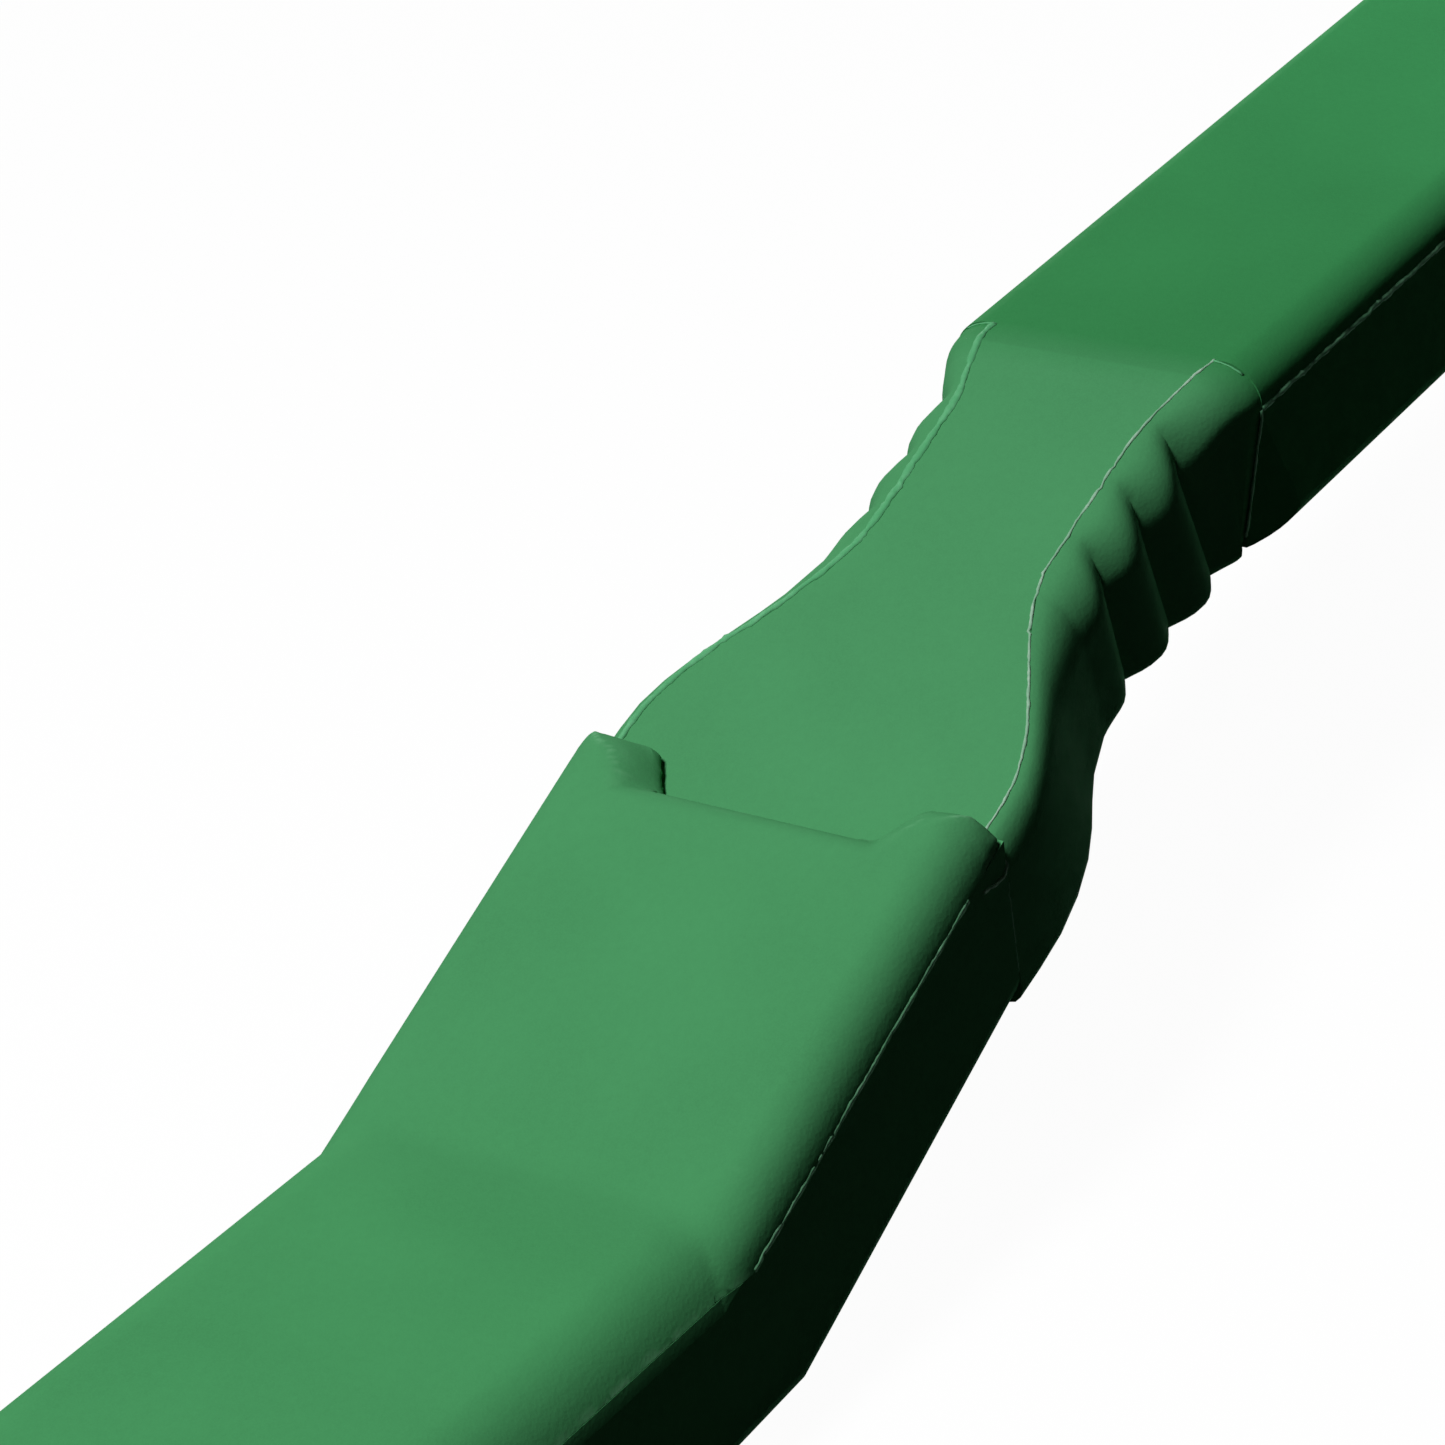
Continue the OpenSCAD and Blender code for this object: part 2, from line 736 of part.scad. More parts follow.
module negative_strip() {
    color(brass)
        strip(socket_y);
}

// Countersunk screw from the back of the neck, grown by g for its hole
module screw(g = 0) {
    r = screw_d / 2;
    head_h = screw_head_d / 2 - r;
    translate([0, 0, neck_low]) {
        cylinder(r = r + g, h = screw_len + g);
        translate([0, 0, -g])
            cylinder(r1 = screw_head_d / 2 + g, r2 = r, h = head_h + g);
    }
}

module shell_screws() {
    color(steel)
        for (y = screw_ys)
            translate([0, y, 0])
                difference() {
                    screw();
                    for (a = [0, 90])
                        translate([0, 0, neck_low])
                            rotate([0, 0, a])
                                cube([screw_d, 0.5, 1], center = true);
                }
}

// Rounded rectangle from [x0, y0] to [x1, y1]
module rounded(x0, y0, x1, y1, r) {
    intersection() {
        translate([x0, y0])
            square([x1 - x0, y1 - y0]);
        union() {
            translate([x0 + r, y0 - 1])
                square([x1 - x0 - 2 * r, y1 - y0 + 2]);
            translate([x0 - 1, y0 + r])
                square([x1 - x0 + 2, y1 - y0 - 2 * r]);
            for (x = [x0 + r, x1 - r], y = [y0 + r, y1 - r])
                translate([x, y])
                    corner(r);
        }
    }
}

module head_block() {
    spigot_x = neck_w / 2 - neck_wall - seat;
    color(green)
    difference() {
        union() {
            intersection() {
                rotate([90, 0, 90])
                    linear_extrude(head_w, center = true)
                        head_side();
                linear_extrude(far)
                    rounded(-head_w / 2, neck_y, head_w / 2, head_y, head_r);
                translate([0, head_y + 1, 0])
                    rotate([90, 0, 0])
                        linear_extrude(head_len + 2)
                            rounded(-head_w / 2, 0, head_w / 2, neck_z, head_r);
            }
            translate([-spigot_x, neck_y - spigot_len, neck_low + neck_floor + 1])
                cube([2 * spigot_x, spigot_len + head_r, neck_t - neck_floor - 1 - lid_t - seat]);
        }
        translate([-slot_w / 2, slot_y, slot_z])
            cube([slot_w, slot_depth + 1, far]);
        cross_bar(pin_y, pin_z, hook_pin_d / 2 + seat / 2, far);
        long_bar(0, lamp_z, lamp_bore_r, socket_y - disc_t - seat, slot_y + 1);
        translate([-channel_w / 2, neck_y - spigot_len - 1, neck_low + neck_floor])
            cube([channel_w, socket_y - neck_y + spigot_len + 1 + seat, 1.2]);
        translate([-channel_w / 2, socket_y - disc_t - seat, lamp_z])
            cube([channel_w, disc_t + 2 * seat, neck_low + neck_floor + 1.2 - lamp_z]);
        for (s = [-1, 1])
            ball_track(s);
        translate([0, screw_ys[2], 0])
            screw(seat);
    }
}

// Side view of the head in [Y, Z]: raked foot and a nose round the hook pin
module head_side() {
    translate([pin_y, pin_z])
        circle(nose_r);
    polygon([[neck_y, neck_low], [neck_y + head_rake, 0], [head_y, 0], [head_y, pin_z], [neck_y, pin_z]]);
    translate([neck_y, pin_z - 1])
        square([head_len - nose_r, nose_r + 1]);
}

// Groove in a cheek of the slot that leads a detent ball home
module ball_track(s) {
    translate([0, pin_y, pin_z])
        rotate([0, 90, 0])
            rotate_extrude(angle = 40)
                translate([ball_drop, s * ball_x])
                    circle(ball_d / 2 + play);
    translate([s * ball_x, pin_y, pin_z - ball_drop])
        sphere(ball_d / 2 + play);
}

ball_x = tongue_w / 2 + ball_out - ball_d / 2;

module hook_pin() {
    color(steel)
        cross_bar(pin_y, pin_z, hook_pin_d / 2, head_w - 1);
}

module lamp_barrel() {
    color("gainsboro")
    difference() {
        long_bar(0, lamp_z, lamp_r, spring_y, lamp_y);
        long_bar(0, lamp_z, lamp_core_r, lamp_y - disc_t - 0.3, lamp_y + 1);
        long_bar(0, lamp_z, lamp_core_r - 0.5, spring_y + disc_t + 1, lamp_y);
        long_bar(0, lamp_z, lamp_core_r, spring_y - 1, spring_y + disc_t + 1);
        difference() {
            long_bar(0, lamp_z, lamp_r + 1, seal_y - seal_d / 2 - seat, seal_y + seal_d / 2 + seat);
            long_bar(0, lamp_z, lamp_r - seal_d + run_fit / 2, spring_y - 1, lamp_y + 1);
        }
    }
}

seal_y = (spring_y + lamp_y) / 2 - 1;

module lamp_seal() {
    color("#202020")
        translate([0, seal_y, lamp_z])
            rotate([90, 0, 0])
                rotate_extrude()
                    translate([lamp_r + run_fit - seal_d / 2 - 0.01, 0])
                        circle(seal_d / 2 - 0.01);
}

module lamp_lens() {
    color("lightcyan")
        long_bar(0, lamp_z, lamp_core_r - seat, lamp_y - disc_t - 0.3 + seat, lamp_y - 0.2);
}

module lamp_board() {
    color("darkgreen")
        long_bar(0, lamp_z, lamp_core_r - seat, spring_y + 0.2, spring_y + disc_t + 1 - seat);
}

module lamp_diode() {
    w = 1.8;
    y = spring_y + disc_t + 1;
    color("khaki")
        translate([-w / 2, y, lamp_z - w / 2])
            cube([w, 1.2, w]);
}

module lamp_spring() {
    color(steel)
        translate([0, 0, lamp_z])
            coil(2 * lamp_core_r - 2, wire_d, socket_y + seat, spring_y + 0.2 - seat, 3);
}

module lamp_socket() {
    color(brass) {
        long_bar(0, lamp_z, lamp_r, socket_y - disc_t, socket_y);
        translate([-channel_w / 2 + seat, socket_y - disc_t, lamp_z])
            cube([channel_w - 2 * seat, disc_t, neck_low + strip_z0 - seat - lamp_z]);
    }
}

// Moves a side view in [v, u] to the hook pin and makes it w wide from x0
module blade_side(x0, w) {
    translate([x0, pin_y, pin_z])
        rotate([90, 0, 90])
            linear_extrude(w)
                children();
}

// Front view in [X, u] through the whole blade
module blade_front() {
    translate([0, pin_y + far / 2, pin_z])
        rotate([90, 0, 0])
            linear_extrude(far)
                children();
}

// Side view of the band between two radii about c, from u0 to u1
module band(c, r0, r1, u0, u1) {
    intersection() {
        difference() {
            translate(c)
                circle(r1, $fn = 360);
            translate(c)
                circle(r0, $fn = 360);
        }
        translate([-far / 4, u0])
            square([far / 2, u1 - u0]);
    }
}

tip = on_blade(blade_R + bead_r, blade_lead + blade_hook);
root_x = web_x - web_t;

module blade() {
    top = blade_u + reach;
    color(steel)
    union() {
        intersection() {
            blade_side(-far / 2, far)
                band(blade_c, blade_R, outer_R, blade_u, top);
            blade_front()
                spatula_plan(top);
        }
        blade_side(root_x, web_t)
            difference() {
                band(flange_c, 1, flange_R, blade_u, flange_b[1] - 3);
                translate(blade_c)
                    circle(outer_R - 0.3, $fn = 360);
            }
        intersection() {
            blade_side(-far / 2, far)
                band(flange_c, flange_R - 0.2, flange_R + web_t, blade_u, flange_b[1] - 3);
            blade_front()
                polygon([
                    [root_x - flange_w, blade_u], [web_x, blade_u], [web_x, top],
                    [root_x, flange_b[1]], [root_x - flange_w, blade_u + reach / 3]
                ]);
        }
        intersection() {
            blade_side(-tip_w + tip_r / 2, 2 * tip_w - tip_r)
                translate(tip)
                    circle(bead_r);
            blade_front()
                square([far, far], center = true);
        }
        difference() {
            tang();
            for (u = rivet_us)
                rivet(u, seat);
        }
    }
}

// Flat tang that the heel holds
tang_x0 = guide_d / 2 + 0.7;
tang_u = 16;

module tang(g = 0) {
    blade_side(tang_x0 - g, spatula_w - guide_d - 1 + 2 * g)
        translate([blade_v - g, -tang_u - g])
            square([spatula_t + 2 * g, tang_u + blade_u + 0.3]);
}

// Front view of the spatula: narrow at the heel beside the web, broad and round at the tip
module spatula_plan(top) {
    right = root_x + spatula_w + web_t;
    offset(r = tip_r)
        offset(delta = -tip_r)
            polygon([
                [root_x, blade_u - 20], [right, blade_u - 20], [right, top * 0.4], [tip_w, top * 0.86],
                [tip_w, top + bead_r], [-tip_w, top + bead_r], [-tip_w, top * 0.8], [root_x, top * 0.3]
            ]);
}

module blade_heel() {
    top = blade_u - seat;
    color(dark_green)
    difference() {
        union() {
            intersection() {
                blade_side(-heel_w / 2, heel_w)
                    rounded(heel_v, -heel_low, heel_v + heel_t, top, 2);
                blade_front()
                    rounded(-heel_w / 2, -heel_low, heel_w / 2, top + 2, 2);
            }
            blade_side(-tongue_w / 2, tongue_w) {
                circle(tongue_back + 0.1);
                translate([-tongue_back, -slot_drop + 1])
                    square([tongue_back + heel_v + 1, slot_drop - 1]);
            }
        }
        blade_side(-far / 2, far) {
            circle(hook_pin_d / 2 + run_fit);
            translate([-2 * tongue_back, -hook_pin_d / 2 - run_fit])
                square([2 * tongue_back, hook_pin_d + 2 * run_fit]);
        }
        tang(seat);
        guide_path(seat);
        detent_bore();
        for (u = rivet_us)
            rivet(u, seat);
    }
}

// Cross bore for the detent balls and their spring
module detent_bore() {
    cross_bar(pin_y, pin_z - ball_drop, ball_d / 2 + seat, far);
}

// Light guide: in from the slot, round a bend and up the back of the spatula
module guide_path(g = 0) {
    r = guide_r + g;
    knee_v = guide_top[0] - guide_bend;
    long_bar(0, lamp_z, r, pin_y - tongue_back - (g > 0 ? 1 : 0), pin_y + knee_v);
    translate([0, pin_y + knee_v, lamp_z + guide_bend])
        rotate([0, 90, 0])
            rotate_extrude(angle = 90)
                translate([guide_bend, 0])
                    circle(r);
    translate([0, pin_y + guide_top[0], lamp_z + guide_bend])
        cylinder(r = r, h = guide_top[1] + lamp_drop - guide_bend);
    translate([0, pin_y + guide_top[0], pin_z + guide_top[1]])
        sphere(r);
    translate([0, pin_y + blade_c[0], pin_z + blade_c[1]])
        rotate([0, 90, 0])
            rotate([0, 0, 90 - blade_lead])
                rotate_extrude(angle = guide_arc, $fn = 360)
                    translate([guide_R, 0])
                        circle(r, $fn = 48);
}

module light_guide() {
    color("#dfe9ee")
        guide_path();
}

// Clip that holds the light guide down on the spatula
module guide_clip() {
    a = guide_arc * 0.6;
    p = on_blade(guide_R, a);
    w = guide_r + 0.5;
    color(steel)
    difference() {
        translate([0, pin_y + p[0], pin_z + p[1]])
            rotate([a - blade_lead, 0, 0])
                translate([web_x + seat, -guide_r - 0.1 + seat, -2.5])
                    cube([w - web_x, guide_r + 0.1 + w - seat, 5]);
        guide_path(seat);
    }
}

// Rivet through the tang, with its head on the outside of the heel
rivet_us = [-tang_u / 3, -tang_u * 0.8];
rivet_x = tang_x0 + (spatula_w - guide_d - 1) / 2;
rivet_head = 0.6;

module rivet(u, g = 0) {
    out = pin_y + heel_v + heel_t;
    long_bar(rivet_x, pin_z + u, rivet_d / 2 + g, pin_y + blade_v - 0.5 - g, out + rivet_head);
}

module heel_rivets() {
    out = pin_y + heel_v + heel_t + seat;
    color(steel)
        for (u = rivet_us) {
            rivet(u);
            long_bar(rivet_x, pin_z + u, rivet_d * 0.85, out, out + rivet_head);
        }
}

module detent_balls() {
    color(steel)
        for (s = [-1, 1])
            translate([s * ball_x, pin_y, pin_z - ball_drop])
                sphere(ball_d / 2);
}

module detent_spring() {
    room = ball_x - ball_d / 2 * 0.8;
    color(steel)
        translate([0, pin_y, pin_z - ball_drop])
            rotate([0, 0, -90])
                coil(ball_d - wire_d - 0.2, wire_d, -room, room, 6);
}

rear_shell();
front_cover();
cell_cover();
cover_hinge_pin();
grip_pad_left();
grip_pad_right();
cell_left();
cell_right();
contact_springs();
tail_contact();
positive_strip();
negative_strip();
shell_screws();
head_block();
hook_pin();
lamp_barrel();
lamp_lens();
lamp_diode();
lamp_board();
lamp_seal();
lamp_spring();
lamp_socket();
blade();
blade_heel();
heel_rivets();
light_guide();
guide_clip();
detent_balls();
detent_spring();
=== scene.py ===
"""Looks of the cranked-handle laryngoscope: mouldings, parting flash, finishes, studio and camera."""

import logging
import math
import random
from dataclasses import dataclass, field
from enum import Enum
from typing import Optional, Sequence

import bmesh
import bpy
from mathutils import Matrix, Vector


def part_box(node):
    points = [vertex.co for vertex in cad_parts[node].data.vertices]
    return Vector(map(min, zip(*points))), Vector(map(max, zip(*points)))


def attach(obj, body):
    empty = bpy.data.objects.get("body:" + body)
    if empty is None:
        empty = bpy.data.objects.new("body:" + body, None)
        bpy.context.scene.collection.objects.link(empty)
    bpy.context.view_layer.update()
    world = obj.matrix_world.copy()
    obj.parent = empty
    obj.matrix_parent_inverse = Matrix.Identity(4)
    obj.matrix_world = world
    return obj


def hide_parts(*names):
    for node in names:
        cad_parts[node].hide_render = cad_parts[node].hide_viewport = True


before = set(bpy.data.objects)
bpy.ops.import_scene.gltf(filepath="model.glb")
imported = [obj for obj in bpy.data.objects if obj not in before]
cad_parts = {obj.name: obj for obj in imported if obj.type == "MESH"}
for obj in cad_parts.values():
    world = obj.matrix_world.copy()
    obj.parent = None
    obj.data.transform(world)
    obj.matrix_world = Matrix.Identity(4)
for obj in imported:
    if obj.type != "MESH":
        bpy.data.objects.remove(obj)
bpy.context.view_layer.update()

LOG = logging.getLogger("laryngoscope")
MM = 0.001
# Points nearer than this are one point
WELD = 0.001 * MM
# Factor that the wave texture applies to its coordinates
WAVE_FACTOR = 20
# Height of a cell's nub
CELL_NUB = 0.9 * MM
Colour = tuple[float, float, float]
Pair = tuple[float, float]
Material = bpy.types.Material
Mesh = bmesh.types.BMesh
Object = bpy.types.Object
Socket = bpy.types.NodeSocket
Value = float | Sequence[float] | Socket


def linear(red: int, green: int, blue: int) -> Colour:
    """Turns an 8-bit display colour into the linear one that shaders take.

    Args:
        red, green, blue: channels from 0 to 255.
    Returns:
        The linear colour.
    """
    shares = (value / 255 for value in (red, green, blue))
    return tuple(c / 12.92 if c <= 0.04045 else ((c + 0.055) / 1.055) ** 2.4 for c in shares)


def scaled(colour: Colour, level: float) -> Colour:
    """Colour at a level of its brightness, at most full."""
    return tuple(min(1.0, c * level) for c in colour)


class Body(Enum):
    """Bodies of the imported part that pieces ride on."""
    HANDLE = "handle"
    COVER = "cover"
    BLADE = "blade"


class Slot(Enum):
    """Material slots of the record, which the scene's own pieces carry but the script does not use."""
    SHELL = "shell_green"
    HEEL = "heel_green"


class NodeBench:
    """Lays out the shader nodes of one material on Object coordinates."""

    def __init__(self, name: str) -> None:
        """Starts a material with a Principled shader.

        Args:
            name: the material's name.
        """
        self.material = bpy.data.materials.new(name)
        self.material.use_nodes = True
        self.tree = self.material.node_tree
        self.tree.nodes.clear()
        self.shader = self.make("BsdfPrincipled")
        self.make("OutputMaterial", Surface=self.shader.outputs["BSDF"])
        self.place = self.make("TexCoord").outputs["Object"]

    def fill(self, socket: Socket, value: Value) -> None:
        """Links a socket to another one, or sets it to a constant.

        Args:
            socket: the socket to fill.
            value: the other socket, or the constant.
        """
        if isinstance(value, Socket):
            self.tree.links.new(value, socket)
        else:
            socket.default_value = value

    def feed(self, node: bpy.types.Node, **inputs: Value) -> bpy.types.Node:
        """Fills inputs of a node.

        Args:
            node: the node.
            inputs: what to fill, by names with underscores in place of spaces.
        Returns:
            The same node.
        """
        for name, value in inputs.items():
            self.fill(node.inputs[name.replace("_", " ")], value)
        return node

    def make(self, kind: str, **inputs: Value) -> bpy.types.Node:
        """Adds a shader node of a kind and fills its inputs."""
        return self.feed(self.tree.nodes.new("ShaderNode" + kind), **inputs)

    def surface(self, **inputs: Value) -> None:
        """Fills inputs of the Principled shader."""
        self.feed(self.shader, **inputs)

    def mapped(self, scale: Sequence[float], offset: Sequence[float] = (0, 0, 0)) -> Socket:
        """Stretched and shifted Object coordinates.

        Args:
            scale: stretch along each axis.
            offset: shift in metres, before the stretch.
        Returns:
            The socket with the coordinates.
        """
        shift = [-s * o for s, o in zip(scale, offset)]
        return self.make("Mapping", Vector=self.place, Location=shift, Scale=scale).outputs["Vector"]

    def noise(self, size: float, detail: float = 2, rough: float = 0.5,
              vector: Optional[Socket] = None) -> Socket:
        """Cloudy noise.

        Args:
            size: size of its blots in metres, or in mapped units where a vector is given.
            detail: octaves.
            rough: weight of the finer octaves.
            vector: coordinates, Object coordinates by default.
        Returns:
            The socket with the value.
        """
        place = vector or self.place
        node = self.make("TexNoise", Vector=place, Scale=1 / size, Detail=detail, Roughness=rough)
        return node.outputs["Fac"]

    def pits(self, size: float) -> Socket:
        """Distance inside small cells, for eroded or cast grain of that size in metres."""
        return self.make("TexVoronoi", Vector=self.place, Scale=1 / size).outputs["Distance"]

    def spread(self, value: Socket, low: float, high: float, start: float = 0.3, end: float = 0.7) -> Socket:
        """Maps a value from start..end to low..high and returns its socket."""
        node = self.make("MapRange", Value=value, From_Min=start, From_Max=end, To_Min=low, To_Max=high)
        return node.outputs["Result"]

    def reckon(self, operation: str, *values: Value) -> Socket:
        """Result of a Math node.

        Args:
            operation: what it does.
            values: numbers or sockets for its inputs, in order.
        Returns:
            The socket with the result.
        """
        node = self.make("Math")
        node.operation = operation
        for socket, value in zip(node.inputs, values):
            self.fill(socket, value)
        return node.outputs[0]

    def total(self, first: Socket, second: Socket, share: float) -> Socket:
        """First value plus a share of the second."""
        return self.reckon("MULTIPLY_ADD", second, share, first)

    def blend(self, share: Socket, low: Colour | Socket, high: Colour | Socket) -> Socket:
        """Mixes two colours, each a constant or a socket.

        Args:
            share: how much of the second colour shows.
            low, high: the colours.
        Returns:
            The socket with the mixture.
        """
        node = self.make("Mix")
        node.data_type = "RGBA"
        self.feed(node, Factor=share)
        for socket, colour in zip(node.inputs[6:8], (low, high)):
            self.fill(socket, (*colour, 1) if isinstance(colour, tuple) else colour)
        return node.outputs[2]

    def along_y(self, vector: Optional[Socket] = None) -> Socket:
        """Coordinate along Y, in metres: of Object coordinates, or of the vector given."""
        return self.make("SeparateXYZ", Vector=vector or self.place).outputs["Y"]

    def bump(self, height: Socket, depth: float, strength: float) -> None:
        """Adds relief.

        Args:
            height: the relief from 0 to 1.
            depth: its depth in metres.
            strength: how much of it shows.
        """
        node = self.make("Bump", Strength=strength, Distance=depth, Height=height)
        self.surface(Normal=node.outputs["Normal"])


@dataclass(frozen=True)
class MouldedPlastic:
    """Matte plastic from a spark-eroded mould, a little paler where its edges are handled, with painted light
    along its length where that is given.
    """
    name: str
    base: Colour
    worn: Colour
    grain: float = 0.16 * MM
    relief: float = 0.02 * MM
    gloss: float = 0.002
    # Painted light and painted sheen along Y: rows of start and end in mm, with the colour that the base
    # drifts to
    painted_light: tuple[tuple[float, float, Colour], ...] = ()
    contrast: float = 0.08
    cloud: float = 14 * MM
    mottle: float = 0.5 * MM
    fleck: float = 0.11 * MM
    patch: float = 1.6 * MM
    sheen: float = 0.9 * MM

    def shade(self, bench: NodeBench, level: float) -> Colour | Socket:
        """Base colour at a level, with the painted light and painted sheen that drift along the length where
        the finish has them.

        Args:
            bench: the material's bench.
            level: brightness against the base.
        Returns:
            The colour, or the socket with it.
        """
        tone = scaled(self.base, level)
        # Blends in the painted light and painted sheen, row by row along Y
        for start, end, colour in self.painted_light:
            share = bench.spread(bench.along_y(), 0, 1, start * MM, end * MM)
            tone = bench.blend(share, tone, scaled(colour, level))
        return tone

    def build(self) -> Material:
        """Makes the material.

        Returns:
            The finished material.
        """
        bench = NodeBench(self.name)
        dark, light = self.shade(bench, 1 - self.contrast), self.shade(bench, 1 + self.contrast)
        clouds = bench.total(bench.noise(self.cloud, 3), bench.noise(self.mottle, 2), 0.35)
        tone = bench.blend(bench.spread(clouds, 0, 1, 0.42, 0.95), dark, light)
        speckle = bench.blend(bench.spread(bench.noise(self.fleck, 1), 0, 0.5, 0.35, 0.7), tone, light)
        patchy = bench.spread(bench.noise(self.patch, 3), 0.15, 1, 0.4, 0.62)
        edges = bench.make("Attribute")
        edges.attribute_name = "edge"
        rubbed = bench.reckon("MULTIPLY", edges.outputs["Fac"], patchy)
        bench.surface(Base_Color=bench.blend(rubbed, speckle, self.worn))
        bench.surface(Roughness=bench.spread(bench.noise(self.sheen, 3), 0.56, 0.7))
        eroded = bench.total(bench.noise(self.grain, 2, 0.6), bench.pits(self.grain * 1.7), 0.8)
        bench.bump(eroded, self.relief, 0.5)
        bench.surface(Specular_IOR_Level=self.gloss)
        return bench.material


@dataclass(frozen=True)
class BrushedMetal:
    """Metal with fine and coarse marks drawn out along one axis."""
    name: str
    base: Colour
    grain_axis: int
    rough: float
    stain: Optional[Colour] = None
    fine: Pair = (9000.0, 140.0)
    coarse: Pair = (1500.0, 60.0)

    def drawn(self, bench: NodeBench, counts: Pair, weight: float) -> Socket:
        """Marks drawn out along the grain.

        Args:
            bench: the material's bench.
            counts: marks per metre, across the grain and along it.
            weight: weight of the finer octave.
        Returns:
            The socket with the value.
        """
        scale = [counts[0]] * 3
        scale[self.grain_axis] = counts[1]
        return bench.noise(1, 2, weight, bench.mapped(scale))

    def build(self) -> Material:
        """Makes the material.

        Returns:
            The finished material.
        """
        bench = NodeBench(self.name)
        marks = bench.total(self.drawn(bench, self.fine, 0.6), self.drawn(bench, self.coarse, 0.5), 0.6)
        dull = self.stain or scaled(self.base, 0.72)
        clouds = bench.spread(bench.noise(5 * MM, 4, 0.6), 0, 0.55)
        tone = bench.blend(clouds, self.base, dull)
        scored = bench.spread(marks, 0, 0.35, 0.6, 1.0)
        bench.surface(Base_Color=bench.blend(scored, tone, scaled(self.base, 0.6)))
        bench.surface(Roughness=bench.spread(marks, self.rough - 0.07, self.rough + 0.12, 0.5, 1.1))
        bench.bump(marks, 0.006 * MM, 0.35)
        bench.surface(Metallic=1.0)
        return bench.material


@dataclass(frozen=True)
class TurnedMetal:
    """Metal with fine rings from a lathe about the Y axis."""
    name: str
    base: Colour
    pitch: float = 0.12 * MM

    def build(self) -> Material:
        """Makes the material.

        Returns:
            The finished material.
        """
        bench = NodeBench(self.name)
        scale = 1 / (self.pitch * WAVE_FACTOR)
        rings = bench.make("TexWave", Vector=bench.place, Scale=scale, Distortion=0.6)
        rings.bands_direction = "Y"
        clouds = bench.spread(bench.noise(2 * MM, 3), 0, 0.5)
        bench.surface(Base_Color=bench.blend(clouds, self.base, scaled(self.base, 0.75)))
        bench.surface(Roughness=bench.spread(bench.noise(0.4 * MM, 2), 0.28, 0.42))
        bench.bump(rings.outputs["Fac"], 0.008 * MM, 0.4)
        bench.surface(Metallic=1.0)
        return bench.material


@dataclass(frozen=True)
class CellJacket:
    """Satin printed sleeve of a cell with a bare rim and a pale band at its nub end."""
    name: str
    sleeve: Colour
    band: Colour
    rim: Colour
    nub_y: float
    nub_side: int
    band_end: float = 9 * MM
    rim_end: float = 1.4 * MM
    blur: float = 0.1 * MM

    def build(self) -> Material:
        """Makes the material.

        Returns:
            The finished material.
        """
        bench = NodeBench(self.name)
        depth = bench.along_y(bench.mapped((1, -self.nub_side, 1), (0, self.nub_y, 0)))
        wobble = bench.noise(0.3 * MM, 2)
        tone = bench.blend(bench.spread(bench.noise(6 * MM, 4), 0, 1), self.sleeve, scaled(self.sleeve, 1.5))
        for end, colour in ((self.band_end, self.band), (self.rim_end, self.rim)):
            tone = bench.blend(bench.spread(depth, 1, 0, end - self.blur, end + self.blur), tone, colour)
        bench.surface(Base_Color=tone)
        bench.surface(Roughness=bench.spread(wobble, 0.3, 0.45))
        bench.bump(bench.total(wobble, bench.noise(3 * MM, 2), 0.5), 0.01 * MM, 0.25)
        bench.surface(Metallic=0.55)
        return bench.material


@dataclass(frozen=True)
class ClearPlastic:
    """Clear or milky polished plastic with faint draw marks."""
    name: str
    tint: Colour
    passing: float
    rough: float
    ior: float = 1.49

    def build(self) -> Material:
        """Makes the material.

        Returns:
            The finished material.
        """
        bench = NodeBench(self.name)
        haze = bench.noise(1.2 * MM, 4)
        bench.surface(Base_Color=bench.blend(bench.spread(haze, 0, 1), self.tint, scaled(self.tint, 0.9)))
        bench.surface(Roughness=bench.spread(bench.noise(0.3 * MM, 3), self.rough * 0.6, self.rough * 1.6))
        bench.bump(bench.noise(0.6 * MM, 3), 0.004 * MM, 0.2)
        bench.surface(Transmission_Weight=self.passing, IOR=self.ior)
        return bench.material


@dataclass(frozen=True)
class SpeckledSolid:
    """Small moulded or coated piece: rubber, solder mask or resin."""
    name: str
    base: Colour
    fleck: Colour
    rough: float
    grain: float = 0.12 * MM

    def build(self) -> Material:
        """Makes the material.

        Returns:
            The finished material.
        """
        bench = NodeBench(self.name)
        flecks = bench.spread(bench.noise(self.grain * 3, 3), 0, 1, 0.5, 0.68)
        clouds = bench.blend(bench.spread(bench.noise(1.5 * MM, 3), 0, 1), self.base, scaled(self.base, 0.8))
        bench.surface(Base_Color=bench.blend(flecks, clouds, self.fleck))
        worn = bench.noise(self.grain, 2)
        bench.surface(Roughness=bench.spread(worn, self.rough - 0.08, self.rough + 0.08))
        bench.bump(bench.noise(self.grain, 3, 0.6), 0.012 * MM, 0.4)
        return bench.material


GREEN = linear(72, 150, 94)
